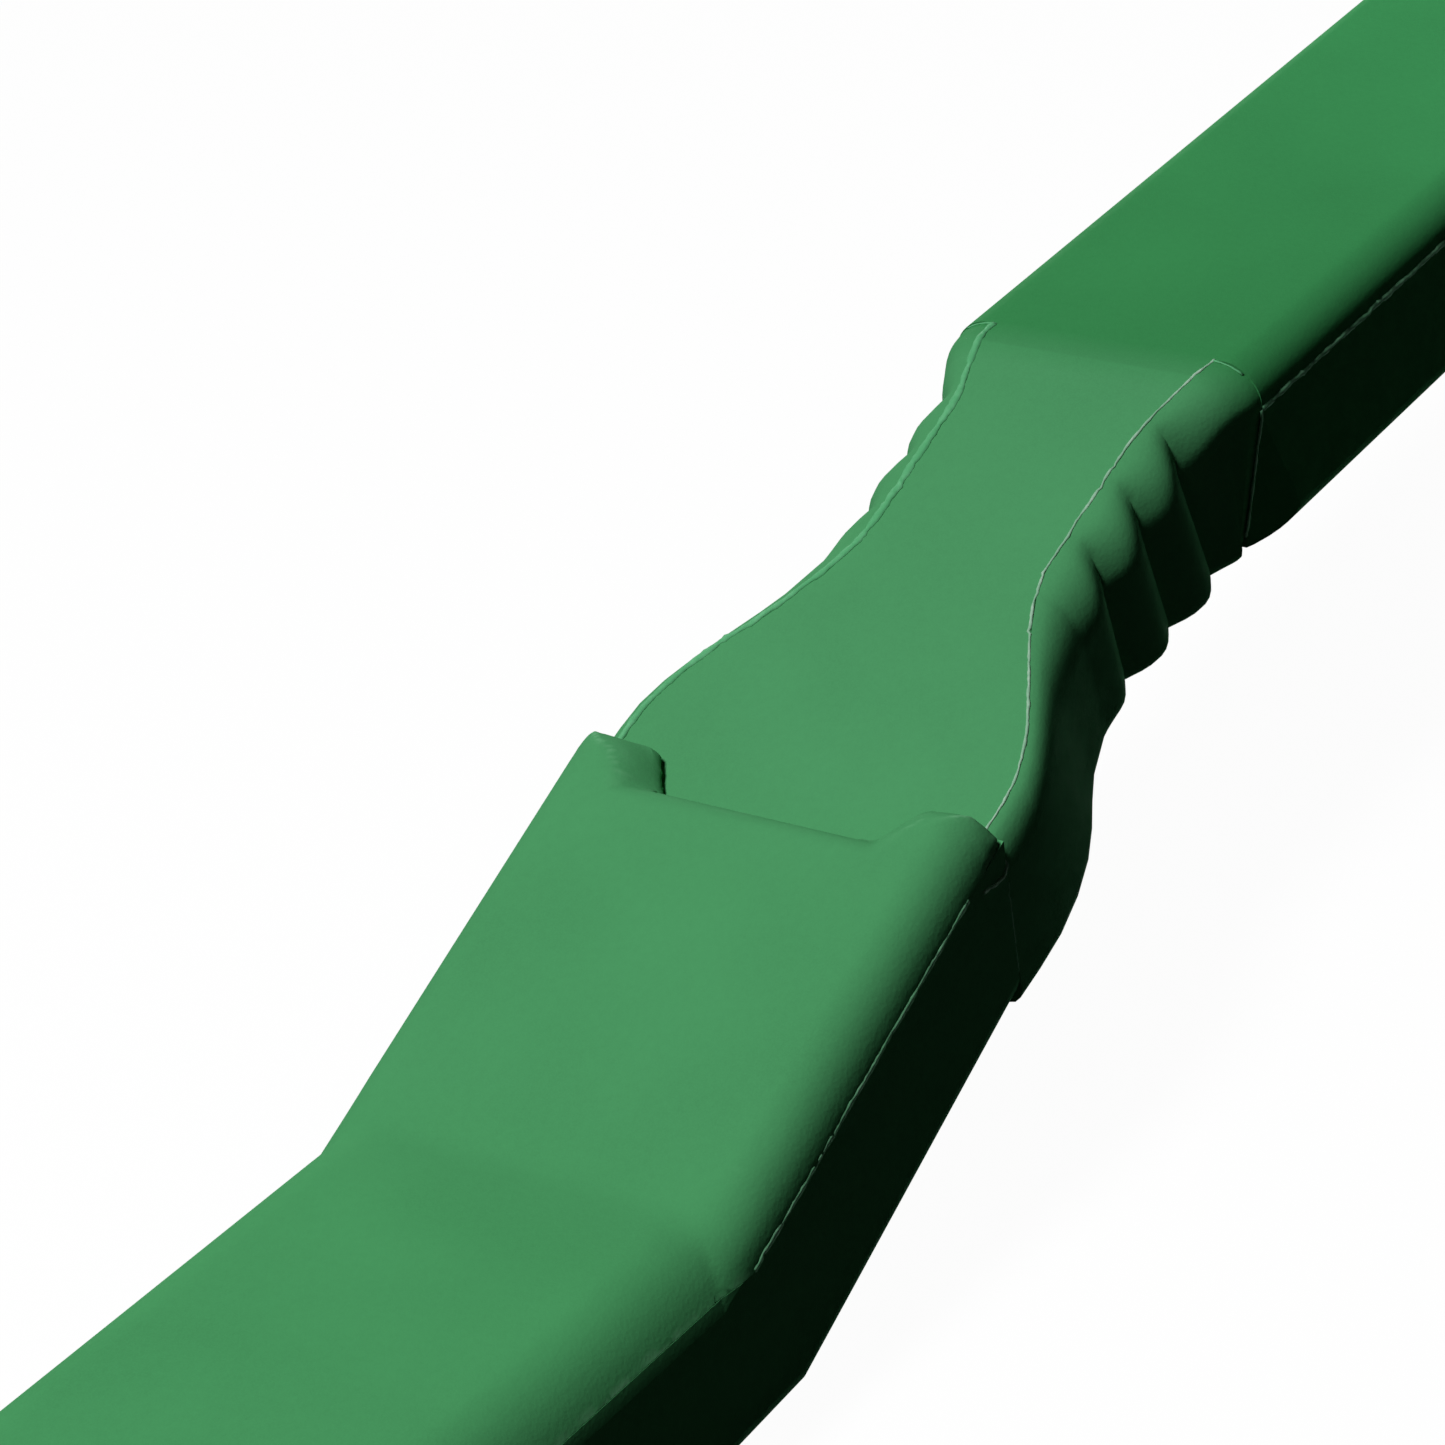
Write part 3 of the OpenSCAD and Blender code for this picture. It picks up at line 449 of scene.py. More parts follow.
# Painted light along the shell, by Y in mm: a painted sheen paling panel and waist, painted shade deepening
# the green from the crest onto the neck, and painted light brightening the neck further along
SHELL_PAINTED_LIGHT = (
    (26, 36, linear(75, 151, 97)), (50, 60, linear(78, 153, 100)),
    (91.5, 95.5, linear(58, 140, 81)), (100, 150, linear(68, 160, 95)),
)
SHELL_FINISH = MouldedPlastic("moulded_green_painted_light", GREEN, linear(110, 180, 130), painted_light=SHELL_PAINTED_LIGHT)
HEEL_FINISH = MouldedPlastic("moulded_dark_green", linear(47, 116, 70), linear(86, 150, 108))
FLASH_FINISH = MouldedPlastic("parting_flash", linear(136, 184, 152), linear(186, 214, 194), gloss=0.02)
LIP_FINISH = MouldedPlastic("seam_lip", linear(88, 170, 115), linear(112, 190, 138), gloss=0.02)
WITNESS_FINISH = MouldedPlastic("witness_line", linear(96, 158, 116), linear(124, 178, 142), gloss=0.02)


def ease(s: float, start: float, end: float) -> float:
    """Smooth step of s between two values."""
    t = min(1.0, max(0.0, (s - start) / (end - start)))
    return t * t * (3 - 2 * t)


@dataclass(frozen=True)
class HandleSizes:
    """Sizes of the handle in millimetres, as packed, and the points that follow from them."""
    body_w: float = 27.0
    body_t: float = 12.8
    tail_len: float = 63.7
    tail_rise: float = math.radians(3.2)
    tail_edge_r: float = 4.4
    cover_t: float = 2.9
    crank: float = math.radians(21)
    panel_len: float = 28.0
    panel_edge_r: float = 3.0
    mouth_w: float = 19.0
    notch_w: float = 15.4
    notch_d: float = 3.0
    waist: float = math.radians(17)
    waist_len: float = 35.4
    face_w: tuple[float, float, float] = (24.2, 12.0, 14.8)
    taper: Pair = (2.5, 20.0)
    flare_run: float = 6.4
    pad_over: float = 2.2
    edge_r: float = 2.5
    neck_w: float = 20.6
    neck_len: float = 60.0
    lid_t: float = 2.7

    @property
    def bend(self) -> Vector:
        """Front of the lower bend, in the middle plane."""
        return Vector((0, self.tail_len / 2, self.body_t))

    @property
    def climb(self) -> Vector:
        """Direction of the raised panel."""
        return Vector((0, math.cos(self.crank), math.sin(self.crank)))

    @property
    def tabs(self) -> Vector:
        """Upper end of the raised panel."""
        return self.bend + self.panel_len * self.climb

    @property
    def foot(self) -> Vector:
        """Lower end of the waist face."""
        return self.tabs + self.cover_t * Vector((0, math.sin(self.crank), -math.cos(self.crank)))

    @property
    def ramp(self) -> Vector:
        """Direction of the waist face."""
        return Vector((0, math.cos(self.waist), math.sin(self.waist)))

    @property
    def crest(self) -> Vector:
        """Upper end of the waist face."""
        return self.foot + self.waist_len * self.ramp

    @property
    def pad_len(self) -> float:
        """Length of a pad along its front."""
        return self.waist_len + self.pad_over

    @property
    def rim_bend(self) -> Vector:
        """Parting plane at the lower bend."""
        lean = Vector((0, math.sin(self.tail_rise) - math.sin(self.crank),
                       math.cos(self.tail_rise) + math.cos(self.crank)))
        return self.bend - self.cover_t * lean / (1 + math.cos(self.crank + self.tail_rise))

    @property
    def face(self) -> Vector:
        """Direction square to the raised panel."""
        return Vector((0, -math.sin(self.crank), math.cos(self.crank)))

    def edge_x(self, edge_r: float, drop: float) -> float:
        """Half width at a depth under the front, beside a front edge of that radius."""
        return self.body_w / 2 - edge_r + math.sqrt(edge_r ** 2 - min(edge_r, max(0.0, edge_r - drop)) ** 2)

    def wall_x(self, place: Vector) -> Pair:
        """Half width of tail or panel at a point.

        Args:
            place: the point in mm.
        Returns:
            The half width, and the point's depth under the front.
        """
        off = place - self.bend
        tail = off.y * math.sin(-self.tail_rise) - off.z * math.cos(self.tail_rise)
        panel = off.y * math.sin(self.crank) - off.z * math.cos(self.crank)
        wall = max(self.edge_x(self.tail_edge_r, tail), self.edge_x(self.panel_edge_r, panel))
        return wall, max(tail, panel)

    def above_rim(self, place: Vector) -> float:
        """Height of a point above the parting plane, square to it.

        Args:
            place: the point in mm.
        Returns:
            The height.
        """
        run = place.y - self.rim_bend.y
        angle = self.crank if run > 0 else -self.tail_rise
        return (place.z - self.rim_bend.z) * math.cos(angle) - run * math.sin(angle)

    def face_x(self, s: float) -> float:
        """Half width of the waist face.

        Args:
            s: distance from the step.
        Returns:
            The half width there.
        """
        low, thin, high = self.face_w
        width = low + (thin - low) * ease(s, *self.taper)
        return (width + (high - width) * ease(s, self.waist_len - self.flare_run, self.pad_len)) / 2

    def pad_run(self, y: float) -> float:
        """Distance from the step, along the waist face and the neck, of a point at y."""
        rise = (y - self.foot.y) / math.cos(self.waist)
        return rise if y < self.crest.y else self.waist_len + y - self.crest.y

    def pad_top(self, s: float) -> Vector:
        """Point of the middle plane on the waist face or, past its end, on the neck."""
        past = Vector((0, s - self.waist_len, 0))
        return self.foot + s * self.ramp if s < self.waist_len else self.crest + past


SIZES = HandleSizes()


@dataclass(frozen=True)
class SoftSpot:
    """Region whose edges the mould has rounded further: a bar along X, or a ball where x is given."""
    y: float
    z: float
    radius: float
    passes: int
    x: Optional[float] = None

    def holds(self, place: Vector, share: float) -> bool:
        """Whether a point in metres lies within a share of the region's radius."""
        dx = 0.0 if self.x is None else abs(place.x) / MM - self.x
        return math.hypot(dx, place.y / MM - self.y, place.z / MM - self.z) < self.radius * share


def clean_copy(node: str) -> Mesh:
    """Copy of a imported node's mesh with its loose triangles joined.

    Args:
        node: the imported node.
    Returns:
        The copy.
    """
    bm = bmesh.new()
    bm.from_mesh(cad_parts[node].data)
    bmesh.ops.remove_doubles(bm, verts=bm.verts, dist=WELD)
    return bm


def relax(bm: Mesh, verts: Sequence[bmesh.types.BMVert], passes: int) -> None:
    """Smooths some vertices of a mesh evenly, a number of times."""
    for _ in range(passes):
        bmesh.ops.smooth_vert(bm, verts=verts, factor=0.5, use_axis_x=True, use_axis_y=True, use_axis_z=True)


def settle(bm: Mesh, name: str, finish: Material, smooth: bool = True) -> Object:
    """Turns a bmesh into a finished object at the origin.

    Args:
        bm: the mesh, which is freed.
        name: the piece's name.
        finish: its material.
        smooth: whether its faces shade smoothly.
    Returns:
        The object.
    """
    for face in bm.faces:
        face.smooth = smooth
    mesh = bpy.data.meshes.new(name)
    bm.to_mesh(mesh)
    bm.free()
    mesh.materials.append(finish)
    piece = bpy.data.objects.new(name, mesh)
    bpy.context.scene.collection.objects.link(piece)
    return piece


def remeshed(bm: Mesh, voxel: float) -> Mesh:
    """Even, fine skin over a closed mesh, so that its edges can be rounded as a mould rounds them.

    Args:
        bm: the closed mesh, which is freed.
        voxel: size of the new faces in metres.
    Returns:
        The new mesh.
    """
    mesh = bpy.data.meshes.new("draft")
    bm.to_mesh(mesh)
    bm.free()
    draft = bpy.data.objects.new("draft", mesh)
    bpy.context.scene.collection.objects.link(draft)
    remesh = draft.modifiers.new("skin", "REMESH")
    remesh.mode = "VOXEL"
    remesh.voxel_size = voxel
    skin = bpy.data.meshes.new_from_object(draft.evaluated_get(bpy.context.evaluated_depsgraph_get()))
    result = bmesh.new()
    result.from_mesh(skin)
    bpy.data.objects.remove(draft)
    bpy.data.meshes.remove(mesh)
    bpy.data.meshes.remove(skin)
    return result


@dataclass
class Moulding:
    """One moulded piece whose edges the mould rounds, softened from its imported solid."""
    node: str
    body: Body
    slot: Slot
    finish: Material
    voxel: float = 0.34 * MM
    passes: int = 3
    soft_spots: list[SoftSpot] = field(default_factory=list)
    soft_shares: tuple[float, ...] = (1.0, 0.8, 0.6)
    wear_gain: float = 8.0
    wear_start: float = 0.25

    def build(self) -> Object:
        """Makes the piece and dresses it.

        Returns:
            The object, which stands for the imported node.
        """
        bm = remeshed(clean_copy(self.node), self.voxel)
        relax(bm, bm.verts, self.passes)
        for spot in self.soft_spots:
            self.soften(bm, spot)
        self.true_up(bm)
        self.mark_edges(bm)
        piece = settle(bm, self.node + "_skin", self.finish)
        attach(piece, self.body.value)
        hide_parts(self.node)
        return piece

    def true_up(self, bm: Mesh) -> None:
        """Puts back what has to stay crisp; a plain moulding has nothing of the kind."""

    def soften(self, bm: Mesh, spot: SoftSpot) -> None:
        """Rounds one region, most in its middle.

        Args:
            bm: the mesh.
            spot: the region.
        """
        for share in self.soft_shares:
            relax(bm, [v for v in bm.verts if spot.holds(v.co, share)], spot.passes)

    def mark_edges(self, bm: Mesh) -> None:
        """Stores on each vertex how sharply it stands out, for the worn edges.

        Args:
            bm: the mesh.
        """
        bm.normal_update()
        layer = bm.verts.layers.float.new("edge")
        for vert in bm.verts:
            ring = [edge.other_vert(vert) for edge in vert.link_edges]
            middle = sum((v.co for v in ring), Vector()) / max(1, len(ring))
            stand = (vert.co - middle).dot(vert.normal) / self.voxel
            vert[layer] = min(1.0, max(0.0, stand * self.wear_gain - self.wear_start))


@dataclass
class CoverMoulding(Moulding):
    """The cell cover: notch and tabs have rolled edges, and the rim stays crisp on the shell."""
    sizes: HandleSizes = SIZES
    play: float = 0.15
    seat: float = 0.12
    lap: float = 0.05
    lap_drop: float = 2.2
    lap_run: float = 0.6
    roll: float = 1.8
    flare: float = 1.5
    reach: float = 1.2
    corner_cut: float = 0.3
    plain_run: float = 12.0
    hinge_run: float = 7.0
    floor_gap: float = 0.03
    facing_out: float = 0.15
    side_passes: int = 8
    crease: float = math.radians(50)

    def true_up(self, bm: Mesh) -> None:
        """Rolls the edges of the notch over, spreads its sides and squares the rim.

        Args:
            bm: the mesh.
        """
        size = self.sizes
        bm.normal_update()
        sides = []
        for vert in bm.verts:
            place, facing = vert.co / MM, vert.normal.copy()
            if place.y > size.bend.y + self.plain_run:
                moved = self.flared(self.rolled(place))
                wall = self.flank(place.x, (place - size.bend).dot(size.climb))
                if (moved - place).length > 0.1 or abs(wall) < 0.7:
                    sides.append(vert)
                place = moved
            vert.co = self.squared(place, facing) * MM
        start = size.panel_len - size.notch_d + 0.2
        relax(bm, [v for v in sides if (v.co / MM - size.bend).dot(size.climb) > start], self.side_passes)
        bm.normal_update()
        for edge in bm.edges:
            edge.smooth = edge.calc_face_angle(0.0) < self.crease

    def flank(self, x: float, s: float) -> float:
        """Distance from the notch's leaning side into the tab.

        Args:
            x: distance from the middle.
            s: distance from the lower bend along the panel.
        Returns:
            The distance, negative in the open.
        """
        size = self.sizes
        lean = (size.mouth_w - size.notch_w) / 2
        up = s - size.panel_len + size.notch_d
        return (size.notch_d * (abs(x) - size.notch_w / 2) - lean * up) / math.hypot(size.notch_d, lean)

    def flared(self, place: Vector) -> Vector:
        """Point of a tab's inner side, spread towards its foot and kept on the notch's floor.

        Args:
            place: the point in mm.
        Returns:
            The point, moved where it lies on that side.
        """
        size = self.sizes
        off = place - size.bend
        s, height = off.dot(size.climb), off.dot(size.face)
        wall = self.flank(place.x, s)
        up = s - size.panel_len + size.notch_d
        if not -self.reach / 2 < wall < self.reach or not -0.2 < up < size.notch_d + 0.3:
            return place
        share = min(1.0, max(0.0, -height / size.cover_t)) ** 2 * (1 - max(0.0, wall) / self.reach)
        lean = (size.mouth_w - size.notch_w) / 2
        side = Vector((-math.copysign(size.notch_d, place.x), 0, 0)) + lean * size.climb
        place = place + self.flare * share * side.normalized()
        slope = size.pad_top(1) - size.pad_top(0)
        floor = size.pad_top(0) + (place.y - size.foot.y) * slope / slope.y
        return Vector((place.x, place.y, max(place.z, floor.z + self.floor_gap)))

    def rolled(self, place: Vector) -> Vector:
        """Point of the panel with the edges of notch and tabs rolled over.

        Args:
            place: the point in mm.
        Returns:
            The point, lowered where it lies near an edge.
        """
        size = self.sizes
        off = place - size.bend
        s, height = off.dot(size.climb), off.dot(size.face)
        end, wall = size.panel_len - s, self.flank(place.x, s)
        mix = max(0.0, self.reach - abs(end - wall)) / self.reach
        tab = min(end, wall) - self.corner_cut * mix * mix
        depth = max(0.0, end - size.notch_d, tab)
        if depth > self.roll:
            return place
        top = math.sqrt(self.roll ** 2 - (self.roll - depth) ** 2) - self.roll
        return place + min(0.0, top - height) * size.face

    def squared(self, place: Vector, facing: Vector) -> Vector:
        """Point of the long walls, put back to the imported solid's rounding and rim.

        Args:
            place: the point in mm.
            facing: the way that the surface faces there.
        Returns:
            The point, moved where it lies on an outer wall or on the rim.
        """
        s = self.sizes
        wall, drop = s.wall_x(place)
        if place.y < -s.tail_len / 2 + self.hinge_run or abs(abs(place.x) - wall) > self.reach:
            return place
        height = s.above_rim(place) - self.play
        if height < 0.25 and facing.z < -self.facing_out:
            place = Vector((place.x, place.y, place.z - height - self.seat))
            wall, drop = s.wall_x(place)
        wall += self.lap * min(1.0, max(0.0, drop - self.lap_drop) / self.lap_run)
        inward = facing.x * place.x < self.facing_out * abs(place.x)
        if place.y > s.tabs.y - 1 or inward or abs(abs(place.x) - wall) > 0.5:
            return place
        share = min(1.0, max(0.0, drop - 0.5))
        x = abs(place.x) + share * (wall - abs(place.x))
        return Vector((math.copysign(x, place.x), place.y, place.z))


@dataclass
class SmoothPiece:
    """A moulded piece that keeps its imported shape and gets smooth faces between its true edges."""
    node: str
    body: Body
    slot: Slot
    finish: Material
    edge_angle: float = math.radians(35)

    def shape(self, bm: Mesh) -> None:
        """Changes the copy where the mould softens it; a plain piece stays as it is."""

    def build(self) -> Object:
        """Makes the piece and dresses it.

        Returns:
            The object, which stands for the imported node.
        """
        bm = clean_copy(self.node)
        self.shape(bm)
        for edge in bm.edges:
            edge.smooth = edge.calc_face_angle(math.pi) < self.edge_angle
        piece = settle(bm, self.node + "_skin", self.finish)
        weighted = piece.modifiers.new("even_shading", "WEIGHTED_NORMAL")
        weighted.keep_sharp = True
        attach(piece, self.body.value)
        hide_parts(self.node)
        return piece


@dataclass
class FrontCover(SmoothPiece):
    """The front cover, with its upper bend softened and the step at the notch's floor closed."""
    sizes: HandleSizes = SIZES
    bend_run: float = 1.0
    wedge: tuple[Pair, ...] = ((9.8, 0.3), (8.2, -2.75))
    wedge_drops: Pair = (-0.004, 0.4)

    def shape(self, bm: Mesh) -> None:
        """Gives the upper bend a soft turn and closes the fine step at the notch's floor.

        Args:
            bm: the mesh.
        """
        s = self.sizes
        for run in (-self.bend_run, self.bend_run):
            bmesh.ops.bisect_plane(bm, geom=[*bm.verts, *bm.edges, *bm.faces], dist=1e-7,
                                   plane_co=(0, (s.crest.y + run) * MM, 0), plane_no=(0, 1, 0))
        slope = s.pad_top(1) - s.pad_top(0)
        corners = []
        for x, run in ((side * x, run) for x, run in self.wedge for side in (-1, 1)):
            for drop in self.wedge_drops:
                place = s.pad_top(0) + run * slope + Vector((x, 0, -drop))
                corners.append(bm.verts.new(place * MM))
        bmesh.ops.convex_hull(bm, input=corners)


@dataclass
class GripPad(SmoothPiece):
    """A grip pad whose ribs roll off further at the front, away from its two ends."""
    sizes: HandleSizes = SIZES
    deeper: float = 0.4
    lean: float = 0.3
    fade_in: Pair = (4.0, 14.0)
    fade_out: float = 5.0

    def shape(self, bm: Mesh) -> None:
        """Draws the front rounding out towards the back.

        Args:
            bm: the mesh.
        """
        s = self.sizes
        for vert in bm.verts:
            place = vert.co / MM
            run = s.pad_run(place.y)
            drop = s.pad_top(run).z - place.z
            if drop < s.edge_r + 0.01:
                share = ease(run, *self.fade_in) * (1 - ease(run, s.waist_len - self.fade_out, s.waist_len))
                shift = Vector((0, self.lean * drop / s.edge_r, -drop * self.deeper))
                vert.co = (place + share * shift) * MM


@dataclass
class FlashLine:
    """Thin ragged ridge that the mould leaves where two of its parts meet."""
    name: str
    points: list[Vector]
    outward: Vector
    finish: Material
    width: float
    height: float
    seed: int
    step: float = 0.25
    segments: int = 6
    wander: float = 0.025
    kinks: Pair = (0.05, 0.14)
    kink_odds: float = 0.03
    widths: Pair = (0.5, 1.7)
    heights: Pair = (0.4, 1.6)
    nick: float = 0.55
    nick_odds: float = 0.05

    def stations(self) -> list[tuple[Vector, Vector]]:
        """Even points along the line.

        Returns:
            Each point in millimetres, with the line's direction there.
        """
        lengths = [0.0]
        for a, b in zip(self.points, self.points[1:]):
            lengths.append(lengths[-1] + (b - a).length)
        count = max(2, round(lengths[-1] / self.step))
        places = []
        for i in range(count + 1):
            target = lengths[-1] * i / count
            k = next(j for j in range(1, len(lengths)) if lengths[j] >= target - 1e-9)
            share = (target - lengths[k - 1]) / (lengths[k] - lengths[k - 1])
            places.append(self.points[k - 1].lerp(self.points[k], share))
        spans = zip(places, places[:1] + places, places[1:] + places[-1:])
        return [(place, (ahead - behind).normalized()) for place, behind, ahead in spans]

    def section(self, place: Vector, ahead: Vector, wide: float, tall: float, aside: float) -> Matrix:
        """Matrix that turns the unit circle into a section of the ridge.

        Args:
            place: point on the line in mm.
            ahead: direction of the line.
            wide: width of the section.
            tall: its height over the surface.
            aside: shift across the line.
        Returns:
            The matrix, in metres.
        """
        across = ahead.cross(self.outward).normalized()
        out = across.cross(ahead)
        turn = Matrix((across * wide / 2, out * tall, ahead)).transposed().to_4x4()
        return Matrix.Translation((place + across * aside) * MM) @ Matrix.Scale(MM, 4) @ turn

    def sweep(self, sections: Sequence[Matrix]) -> Mesh:
        """Closed skin drawn out through a row of sections.

        Args:
            sections: the matrices of the sections, in order.
        Returns:
            The skin, in metres.
        """
        def rank(face: bmesh.types.BMFace) -> int:
            """Number that puts faces in the order of their vertices."""
            spots = [v.index for v in face.verts]
            return min(spots) * len(bm.verts) + max(spots)
        bm = bmesh.new()
        ring = list(bmesh.ops.create_circle(bm, cap_ends=True, radius=1, segments=self.segments)["verts"])
        unit = [v.co.copy() for v in ring]
        cap = bm.faces[:][0]
        for i, section in enumerate(sections):
            if i:
                behind = cap
                grown = bmesh.ops.extrude_face_region(bm, geom=[behind])["geom"]
                cap = next(f for f in grown if isinstance(f, bmesh.types.BMFace))
                ring = [min(cap.verts, key=lambda v, o=old: (v.co - o.co).length) for old in ring]
                if i > 1:
                    bmesh.ops.delete(bm, geom=[behind], context="FACES_ONLY")
            for vert, spot in zip(ring, unit):
                vert.co = section @ spot
        bmesh.ops.recalc_face_normals(bm, faces=bm.faces)
        # Extruding leaves the faces in another order on each run
        bm.verts.index_update()
        bm.faces.sort(key=rank)
        return bm

    def ridge_sections(self, rng: random.Random) -> list[Matrix]:
        """Ragged sections that wander about the seam, with nicks and kinks.

        Args:
            rng: the seeded source of the raggedness.
        Returns:
            The sections.
        """
        sections = []
        drift = kink = 0.0
        wide = tall = 1.0
        for place, ahead in self.stations():
            drift = 0.85 * drift + rng.uniform(-self.wander, self.wander)
            kinked = rng.random() < self.kink_odds
            kink = rng.choice((-1, 1)) * rng.uniform(*self.kinks) if kinked else 0.5 * kink
            wide = 0.5 * wide + 0.5 * rng.uniform(*self.widths)
            tall = 0.5 * tall + 0.5 * rng.uniform(*self.heights)
            rise = self.height * tall * (self.nick if rng.random() < self.nick_odds else 1.0)
            sections.append(self.section(place, ahead, self.width * wide, rise, drift + kink))
        return sections

    def build(self) -> Object:
        """Makes the ridge on the handle and dresses it.

        Returns:
            The object.
        """
        rng = random.Random(self.seed)
        bm = self.sweep(self.ridge_sections(rng))
        layer = bm.verts.layers.float.new("edge")
        for vert in bm.verts:
            vert[layer] = rng.random()
        piece = settle(bm, "flash_" + self.name, self.finish)
        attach(piece, Body.HANDLE.value)
        return piece


@dataclass
class Handle:
    """The moulded handle: shells, cell cover, grip pads, head and the flash along their seams."""
    sizes: HandleSizes = SIZES
    finish: Material = field(default_factory=SHELL_FINISH.build)
    flash: Material = field(default_factory=FLASH_FINISH.build)
    lip: Material = field(default_factory=LIP_FINISH.build)
    witness: Material = field(default_factory=WITNESS_FINISH.build)
    sink: float = 0.02
    edge_points: int = 60
    panel_short: float = 3.6
    panel_lift: float = 0.07
    low_drops: Pair = (2.6, 8.4)
    high_back: float = 0.14
    high_draft: tuple[Pair, ...] = ((0, 0), (0, 0.5), (1.7, 8.6))
    hook_stand: float = 0.03
    hook_end: tuple[Pair, ...] = ((0.5, 2.0), (1.4, 1.95), (2.5, 1.8))

    def build(self) -> None:
        """Makes every moulded piece of the handle."""
        for moulding in self.mouldings():
            report(moulding.build())
        dress("rear_shell", self.finish)
        for line in self.flash_lines():
            report(line.build())

    def mouldings(self) -> list[Moulding | SmoothPiece]:
        """The pieces that stand for packed ones, with the regions that the mould rounds further.

        Returns:
            The pieces, not yet built.
        """
        s = self.sizes
        bend = SoftSpot(s.bend.y, s.bend.z, radius=3.2, passes=8)
        corner = SoftSpot(s.tabs.y, s.tabs.z - 0.6, radius=2.2, passes=6, x=s.body_w / 2 - 0.5)
        shell = {"slot": Slot.SHELL, "finish": self.finish}
        return [
            CoverMoulding("cell_cover", Body.COVER, voxel=0.3 * MM, soft_spots=[bend, corner], **shell),
            FrontCover("front_cover", Body.HANDLE, **shell),
            GripPad("grip_pad_left", Body.HANDLE, **shell),
            GripPad("grip_pad_right", Body.HANDLE, **shell),
            Moulding("head_block", Body.HANDLE, **shell),
        ]

    def over_edge(self, run: float, half: float, y: float, stand: float, count: int) -> list[Vector]:
        """Points over the front rounding at an end of the right pad.

        Args:
            run: distance of that end from the step.
            half: half width of the handle there.
            y: where the points lie.
            stand: how far they stand off the rounding.
            count: how many there are, ten degrees apart.
        Returns:
            The points, from the waist face outward.
        """
        s = self.sizes
        inner, top = s.face_x(run), s.pad_top(run).z
        points = []
        for turn in (math.radians(90 - 10 * i) for i in range(count)):
            x = inner + (half - inner + stand) * math.cos(turn)
            points.append(Vector((x, y, top + (s.edge_r + stand) * math.sin(turn) - s.edge_r)))
        return points

    def seams(self) -> dict[str, list[Vector]]:
        """Seams of the right side that carry flash.

        Returns:
            The points of each seam in millimetres, by its name.
        """
        s = self.sizes
        half, neck_x = s.body_w / 2, s.neck_w / 2
        neck_rim = s.crest.z - s.lid_t
        high_y = s.crest.y + s.pad_over
        end_y = high_y - self.high_back
        waist = []
        for run in (s.pad_len * i / self.edge_points for i in range(self.edge_points + 1)):
            top = s.pad_top(run)
            waist.append(Vector((s.face_x(run) + self.sink, top.y, top.z)))
        panel_x = s.edge_x(s.panel_edge_r, s.cover_t)
        rim_top = s.rim_bend + (s.panel_len - self.panel_short) * s.climb
        hook_x = half + self.hook_stand
        hook = self.over_edge(0, half, s.foot.y - self.hook_stand, 2 * self.hook_stand, 8)
        return {
            "waist": waist,
            "panel": [Vector((panel_x, p.y, p.z + self.panel_lift)) for p in (s.rim_bend, rim_top)],
            "neck": [Vector((neck_x - self.sink, y, neck_rim)) for y in (high_y, s.crest.y + s.neck_len)],
            "pad_low": [Vector((half - self.sink, s.foot.y, s.foot.z - drop)) for drop in self.low_drops],
            "pad_high": [Vector((neck_x - lean, end_y, neck_rim - drop)) for lean, drop in self.high_draft],
            "pad_over": self.over_edge(s.pad_len, neck_x, end_y, self.hook_stand, 5),
            "step": hook + [Vector((hook_x, s.foot.y - y, s.foot.z - drop)) for y, drop in self.hook_end],
        }

    def flash_lines(self) -> list[FlashLine]:
        """Flash along the seams of both sides.

        Returns:
            The lines, not yet built.
        """
        seams = self.seams()
        lines = []
        for side, tag, seed in ((-1, "left", 30), (1, "right", 10)):
            out, over = Vector((side, 0, 0)), Vector((side, 0, 1))
            waist = (0.16, 0.08, self.flash) if side > 0 else (0.42, 0.1, self.lip)
            rows = (
                ("waist", Vector((0, -0.3, 1)), *waist),
                ("panel", out, 0.3, 0.08, self.witness),
                ("neck", out, 0.34, 0.16, self.witness),
                ("pad_low", out, 0.12, 0.03, self.witness),
                ("pad_high", out, 0.3, 0.06, self.witness),
                ("pad_over", over, 0.14, 0.05, self.lip),
                ("step", over, 0.2, 0.2, self.flash),
            )
            for k, (name, outward, width, height, finish) in enumerate(rows):
                points = [Vector((side * p.x, p.y, p.z)) for p in seams[name]]
                lines.append(FlashLine(f"{name}_{tag}", points, outward, finish, width, height, seed + k))
        return lines


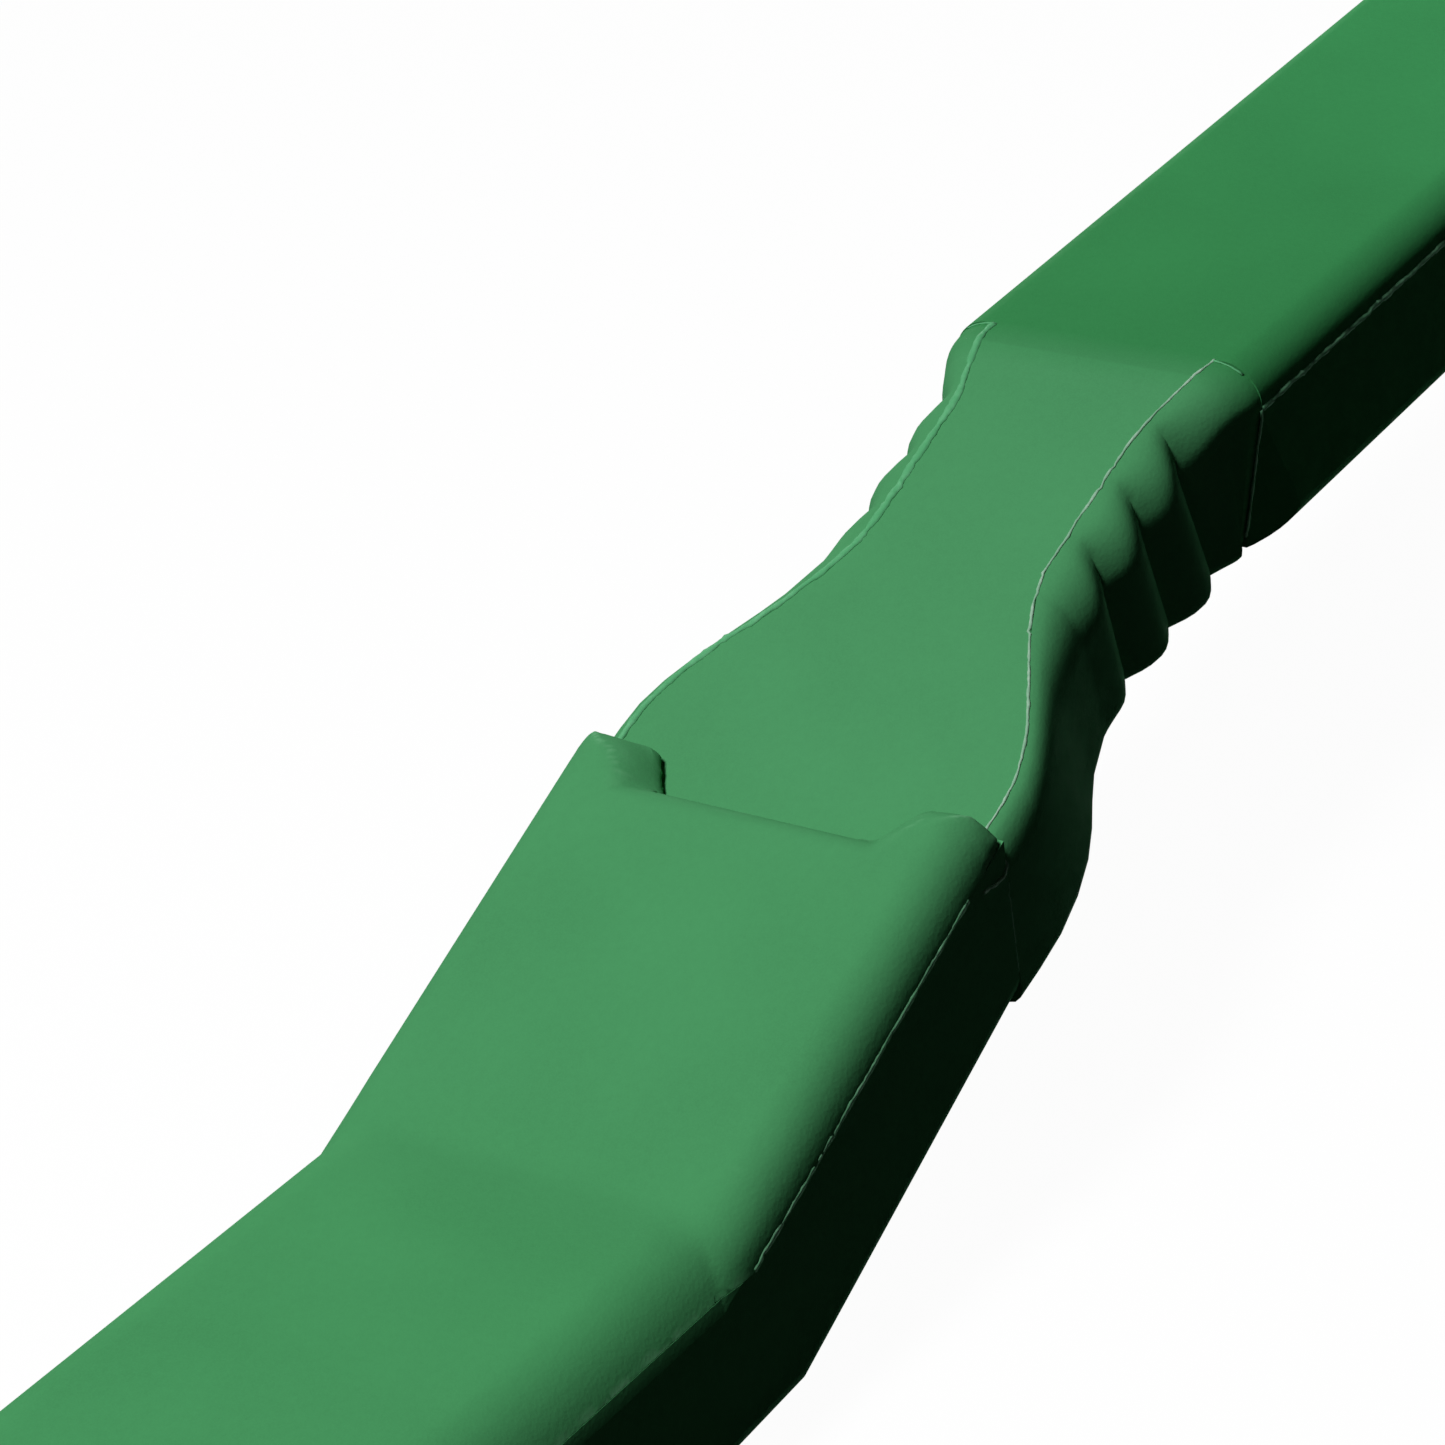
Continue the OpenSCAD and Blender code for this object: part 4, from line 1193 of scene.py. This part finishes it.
@dataclass
class Innards:
    """Cells, contacts, lamp and fasteners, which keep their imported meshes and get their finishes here."""

    def finishes(self) -> dict[str, Material]:
        """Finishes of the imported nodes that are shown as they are.

        Returns:
            The material of each, by its node.
        """
        steel, resin = linear(196, 200, 204), linear(236, 214, 110)
        brushed = BrushedMetal("brushed_steel", steel, 2, 0.26).build()
        pins = BrushedMetal("ground_pin_steel", steel, 0, 0.22).build()
        screws = BrushedMetal("screw_steel", linear(176, 180, 184), 2, 0.34).build()
        wire = BrushedMetal("spring_wire", linear(170, 172, 176), 1, 0.32).build()
        brass = BrushedMetal("rolled_brass", linear(214, 178, 98), 1, 0.3, linear(150, 112, 52)).build()
        colours = linear(66, 84, 104), linear(186, 192, 198), linear(200, 202, 204)
        ends = (
            ("left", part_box("cell_left")[1].y - CELL_NUB, 1),
            ("right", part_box("cell_right")[0].y + CELL_NUB, -1),
        )
        jackets = [CellJacket(f"cell_jacket_{tag}", *colours, end, side).build() for tag, end, side in ends]
        return {
            "cover_hinge_pin": pins, "hook_pin": pins, "heel_rivets": pins, "detent_balls": pins,
            "shell_screws": screws, "contact_springs": wire, "lamp_spring": wire, "detent_spring": wire,
            "tail_contact": brass, "positive_strip": brass, "negative_strip": brass, "lamp_socket": brass,
            "cell_left": jackets[0], "cell_right": jackets[1], "blade": brushed, "guide_clip": brushed,
            "lamp_barrel": TurnedMetal("turned_aluminium", linear(206, 208, 210)).build(),
            "lamp_lens": ClearPlastic("lens_clear", linear(238, 246, 247), 1.0, 0.04).build(),
            "light_guide": ClearPlastic("light_rod", linear(226, 236, 240), 0.55, 0.16).build(),
            "lamp_board": SpeckledSolid("solder_mask", linear(28, 96, 58), linear(176, 150, 84), 0.4).build(),
            "lamp_diode": SpeckledSolid("diode_resin", resin, linear(250, 240, 170), 0.3).build(),
            "lamp_seal": SpeckledSolid("seal_rubber", linear(34, 34, 34), linear(58, 58, 58), 0.75).build(),
        }

    def build(self) -> None:
        """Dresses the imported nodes."""
        for node, material in self.finishes().items():
            dress(node, material)


@dataclass
class BladeHeel:
    """The moulded heel of the blade."""

    def build(self) -> None:
        """Makes the heel and dresses it."""
        heel = Moulding("blade_heel", Body.BLADE, Slot.HEEL, HEEL_FINISH.build(), voxel=0.3 * MM, passes=4)
        report(heel.build())


@dataclass
class Studio:
    """Pale floor, soft key and fill lights and the camera at the photograph's angle."""
    centre: Vector = Vector((147.219, -136.527, 164.783)) * MM
    right: Vector = Vector((0.826822, 0.547894, -0.127189))
    up: Vector = Vector((-0.184155, 0.477361, 0.859194))
    ahead: Vector = Vector((-0.531462, 0.686978, -0.49559))
    lens: float = 129.548
    sensor: float = 36.0
    near: float = 0.01
    key_place: Vector = Vector((-0.09, -0.126, 0.429))
    key_size: float = 0.12
    key_power: float = 1.95
    ambient: float = 0.006
    aim: Vector = Vector((0.0, 0.07, 0.02))
    fill_place: Vector = Vector((-0.38, 0.52, 0.055))
    fill_size: float = 0.16
    fill_power: float = 0.8
    floor_size: float = 4.0
    floor_drop: float = 0.2 * MM
    floor_tone: float = 0.03
    floor_glow: float = 0.97

    def build(self) -> None:
        """Makes the whole studio."""
        bpy.context.scene.view_settings.view_transform = "Standard"
        self.camera()
        self.lamp("key", self.key_place, self.key_size, self.key_power)
        self.lamp("fill", self.fill_place, self.fill_size, self.fill_power)
        self.world()
        self.floor()

    def camera(self) -> None:
        """Camera fitted to the photograph."""
        data = bpy.data.cameras.new("camera")
        data.lens = self.lens
        data.sensor_width = self.sensor
        data.clip_start = self.near
        camera = bpy.data.objects.new("camera", data)
        turn = Matrix((self.right, self.up, -self.ahead)).transposed().to_4x4()
        camera.matrix_world = Matrix.Translation(self.centre) @ turn
        bpy.context.scene.collection.objects.link(camera)
        bpy.context.scene.camera = camera

    def lamp(self, name: str, place: Vector, size: float, power: float) -> None:
        """Adds a round soft box that looks at the handle.

        Args:
            name: the lamp's name.
            place: where it hangs, in metres.
            size: its diameter in metres.
            power: its power in watts.
        """
        data = bpy.data.lights.new(name, "AREA")
        data.shape = "DISK"
        data.size = size
        data.energy = power
        light = bpy.data.objects.new(name, data)
        light.location = place
        light.rotation_euler = (place - self.aim).to_track_quat("Z", "Y").to_euler()
        bpy.context.scene.collection.objects.link(light)

    def world(self) -> None:
        """White to the eye and to reflections, dim as a light."""
        world = bpy.data.worlds.new("studio")
        world.use_nodes = True
        tree = world.node_tree
        back = tree.nodes["Background"]
        self.seen_white(tree, back.inputs["Strength"], self.ambient)
        back.inputs["Color"].default_value = (1, 1, 1, 1)
        bpy.context.scene.world = world

    def seen_white(self, tree: bpy.types.NodeTree, strength: Socket, dim: float, full: float = 1.0) -> None:
        """Sets a full strength for camera, glossy and transmission rays and a dim one for the rest.

        Args:
            tree: the node tree.
            strength: the socket to feed.
            dim: the strength for other rays.
            full: the strength for the rays that show it.
        """
        path = tree.nodes.new("ShaderNodeLightPath")
        seen = path.outputs["Is Camera Ray"]
        for name in ("Is Glossy Ray", "Is Transmission Ray"):
            either = tree.nodes.new("ShaderNodeMath")
            either.operation = "MAXIMUM"
            tree.links.new(seen, either.inputs[0])
            tree.links.new(path.outputs[name], either.inputs[1])
            seen = either.outputs[0]
        level = tree.nodes.new("ShaderNodeMapRange")
        level.inputs["To Min"].default_value = dim
        level.inputs["To Max"].default_value = full
        tree.links.new(seen, level.inputs["Value"])
        tree.links.new(level.outputs["Result"], strength)

    def floor(self) -> None:
        """Large pale floor that shows as white where the key reaches it and keeps a faint shadow."""
        bm = bmesh.new()
        bmesh.ops.create_grid(bm, x_segments=4, y_segments=4, size=self.floor_size)
        bmesh.ops.translate(bm, verts=bm.verts, vec=(0, 0, -self.floor_drop))
        material = bpy.data.materials.new("floor")
        material.use_nodes = True
        tree = material.node_tree
        shader = tree.nodes["Principled BSDF"]
        shader.inputs["Base Color"].default_value = (self.floor_tone,) * 3 + (1,)
        shader.inputs["Roughness"].default_value = 1
        shader.inputs["Specular IOR Level"].default_value = 0
        shader.inputs["Emission Color"].default_value = (1, 1, 1, 1)
        self.seen_white(tree, shader.inputs["Emission Strength"], 0.0, self.floor_glow)
        settle(bm, "floor", material, smooth=False)


def dress(node: str, material: Material) -> None:
    """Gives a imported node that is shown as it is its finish.

    Args:
        node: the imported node.
        material: the finish.
    """
    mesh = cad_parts[node].data
    mesh.materials.clear()
    mesh.materials.append(material)
    LOG.info("%s: finish %s", node, material.name)


def report(piece: Object) -> None:
    """Logs one finished piece."""
    LOG.info("%s: %d faces", piece.name, len(piece.data.polygons))


def main() -> None:
    """Builds the part's looks in order."""
    logging.basicConfig(level=logging.INFO, format="%(name)s %(message)s")
    Studio().build()
    Handle().build()
    BladeHeel().build()
    Innards().build()


if __name__ == "__main__":
    main()
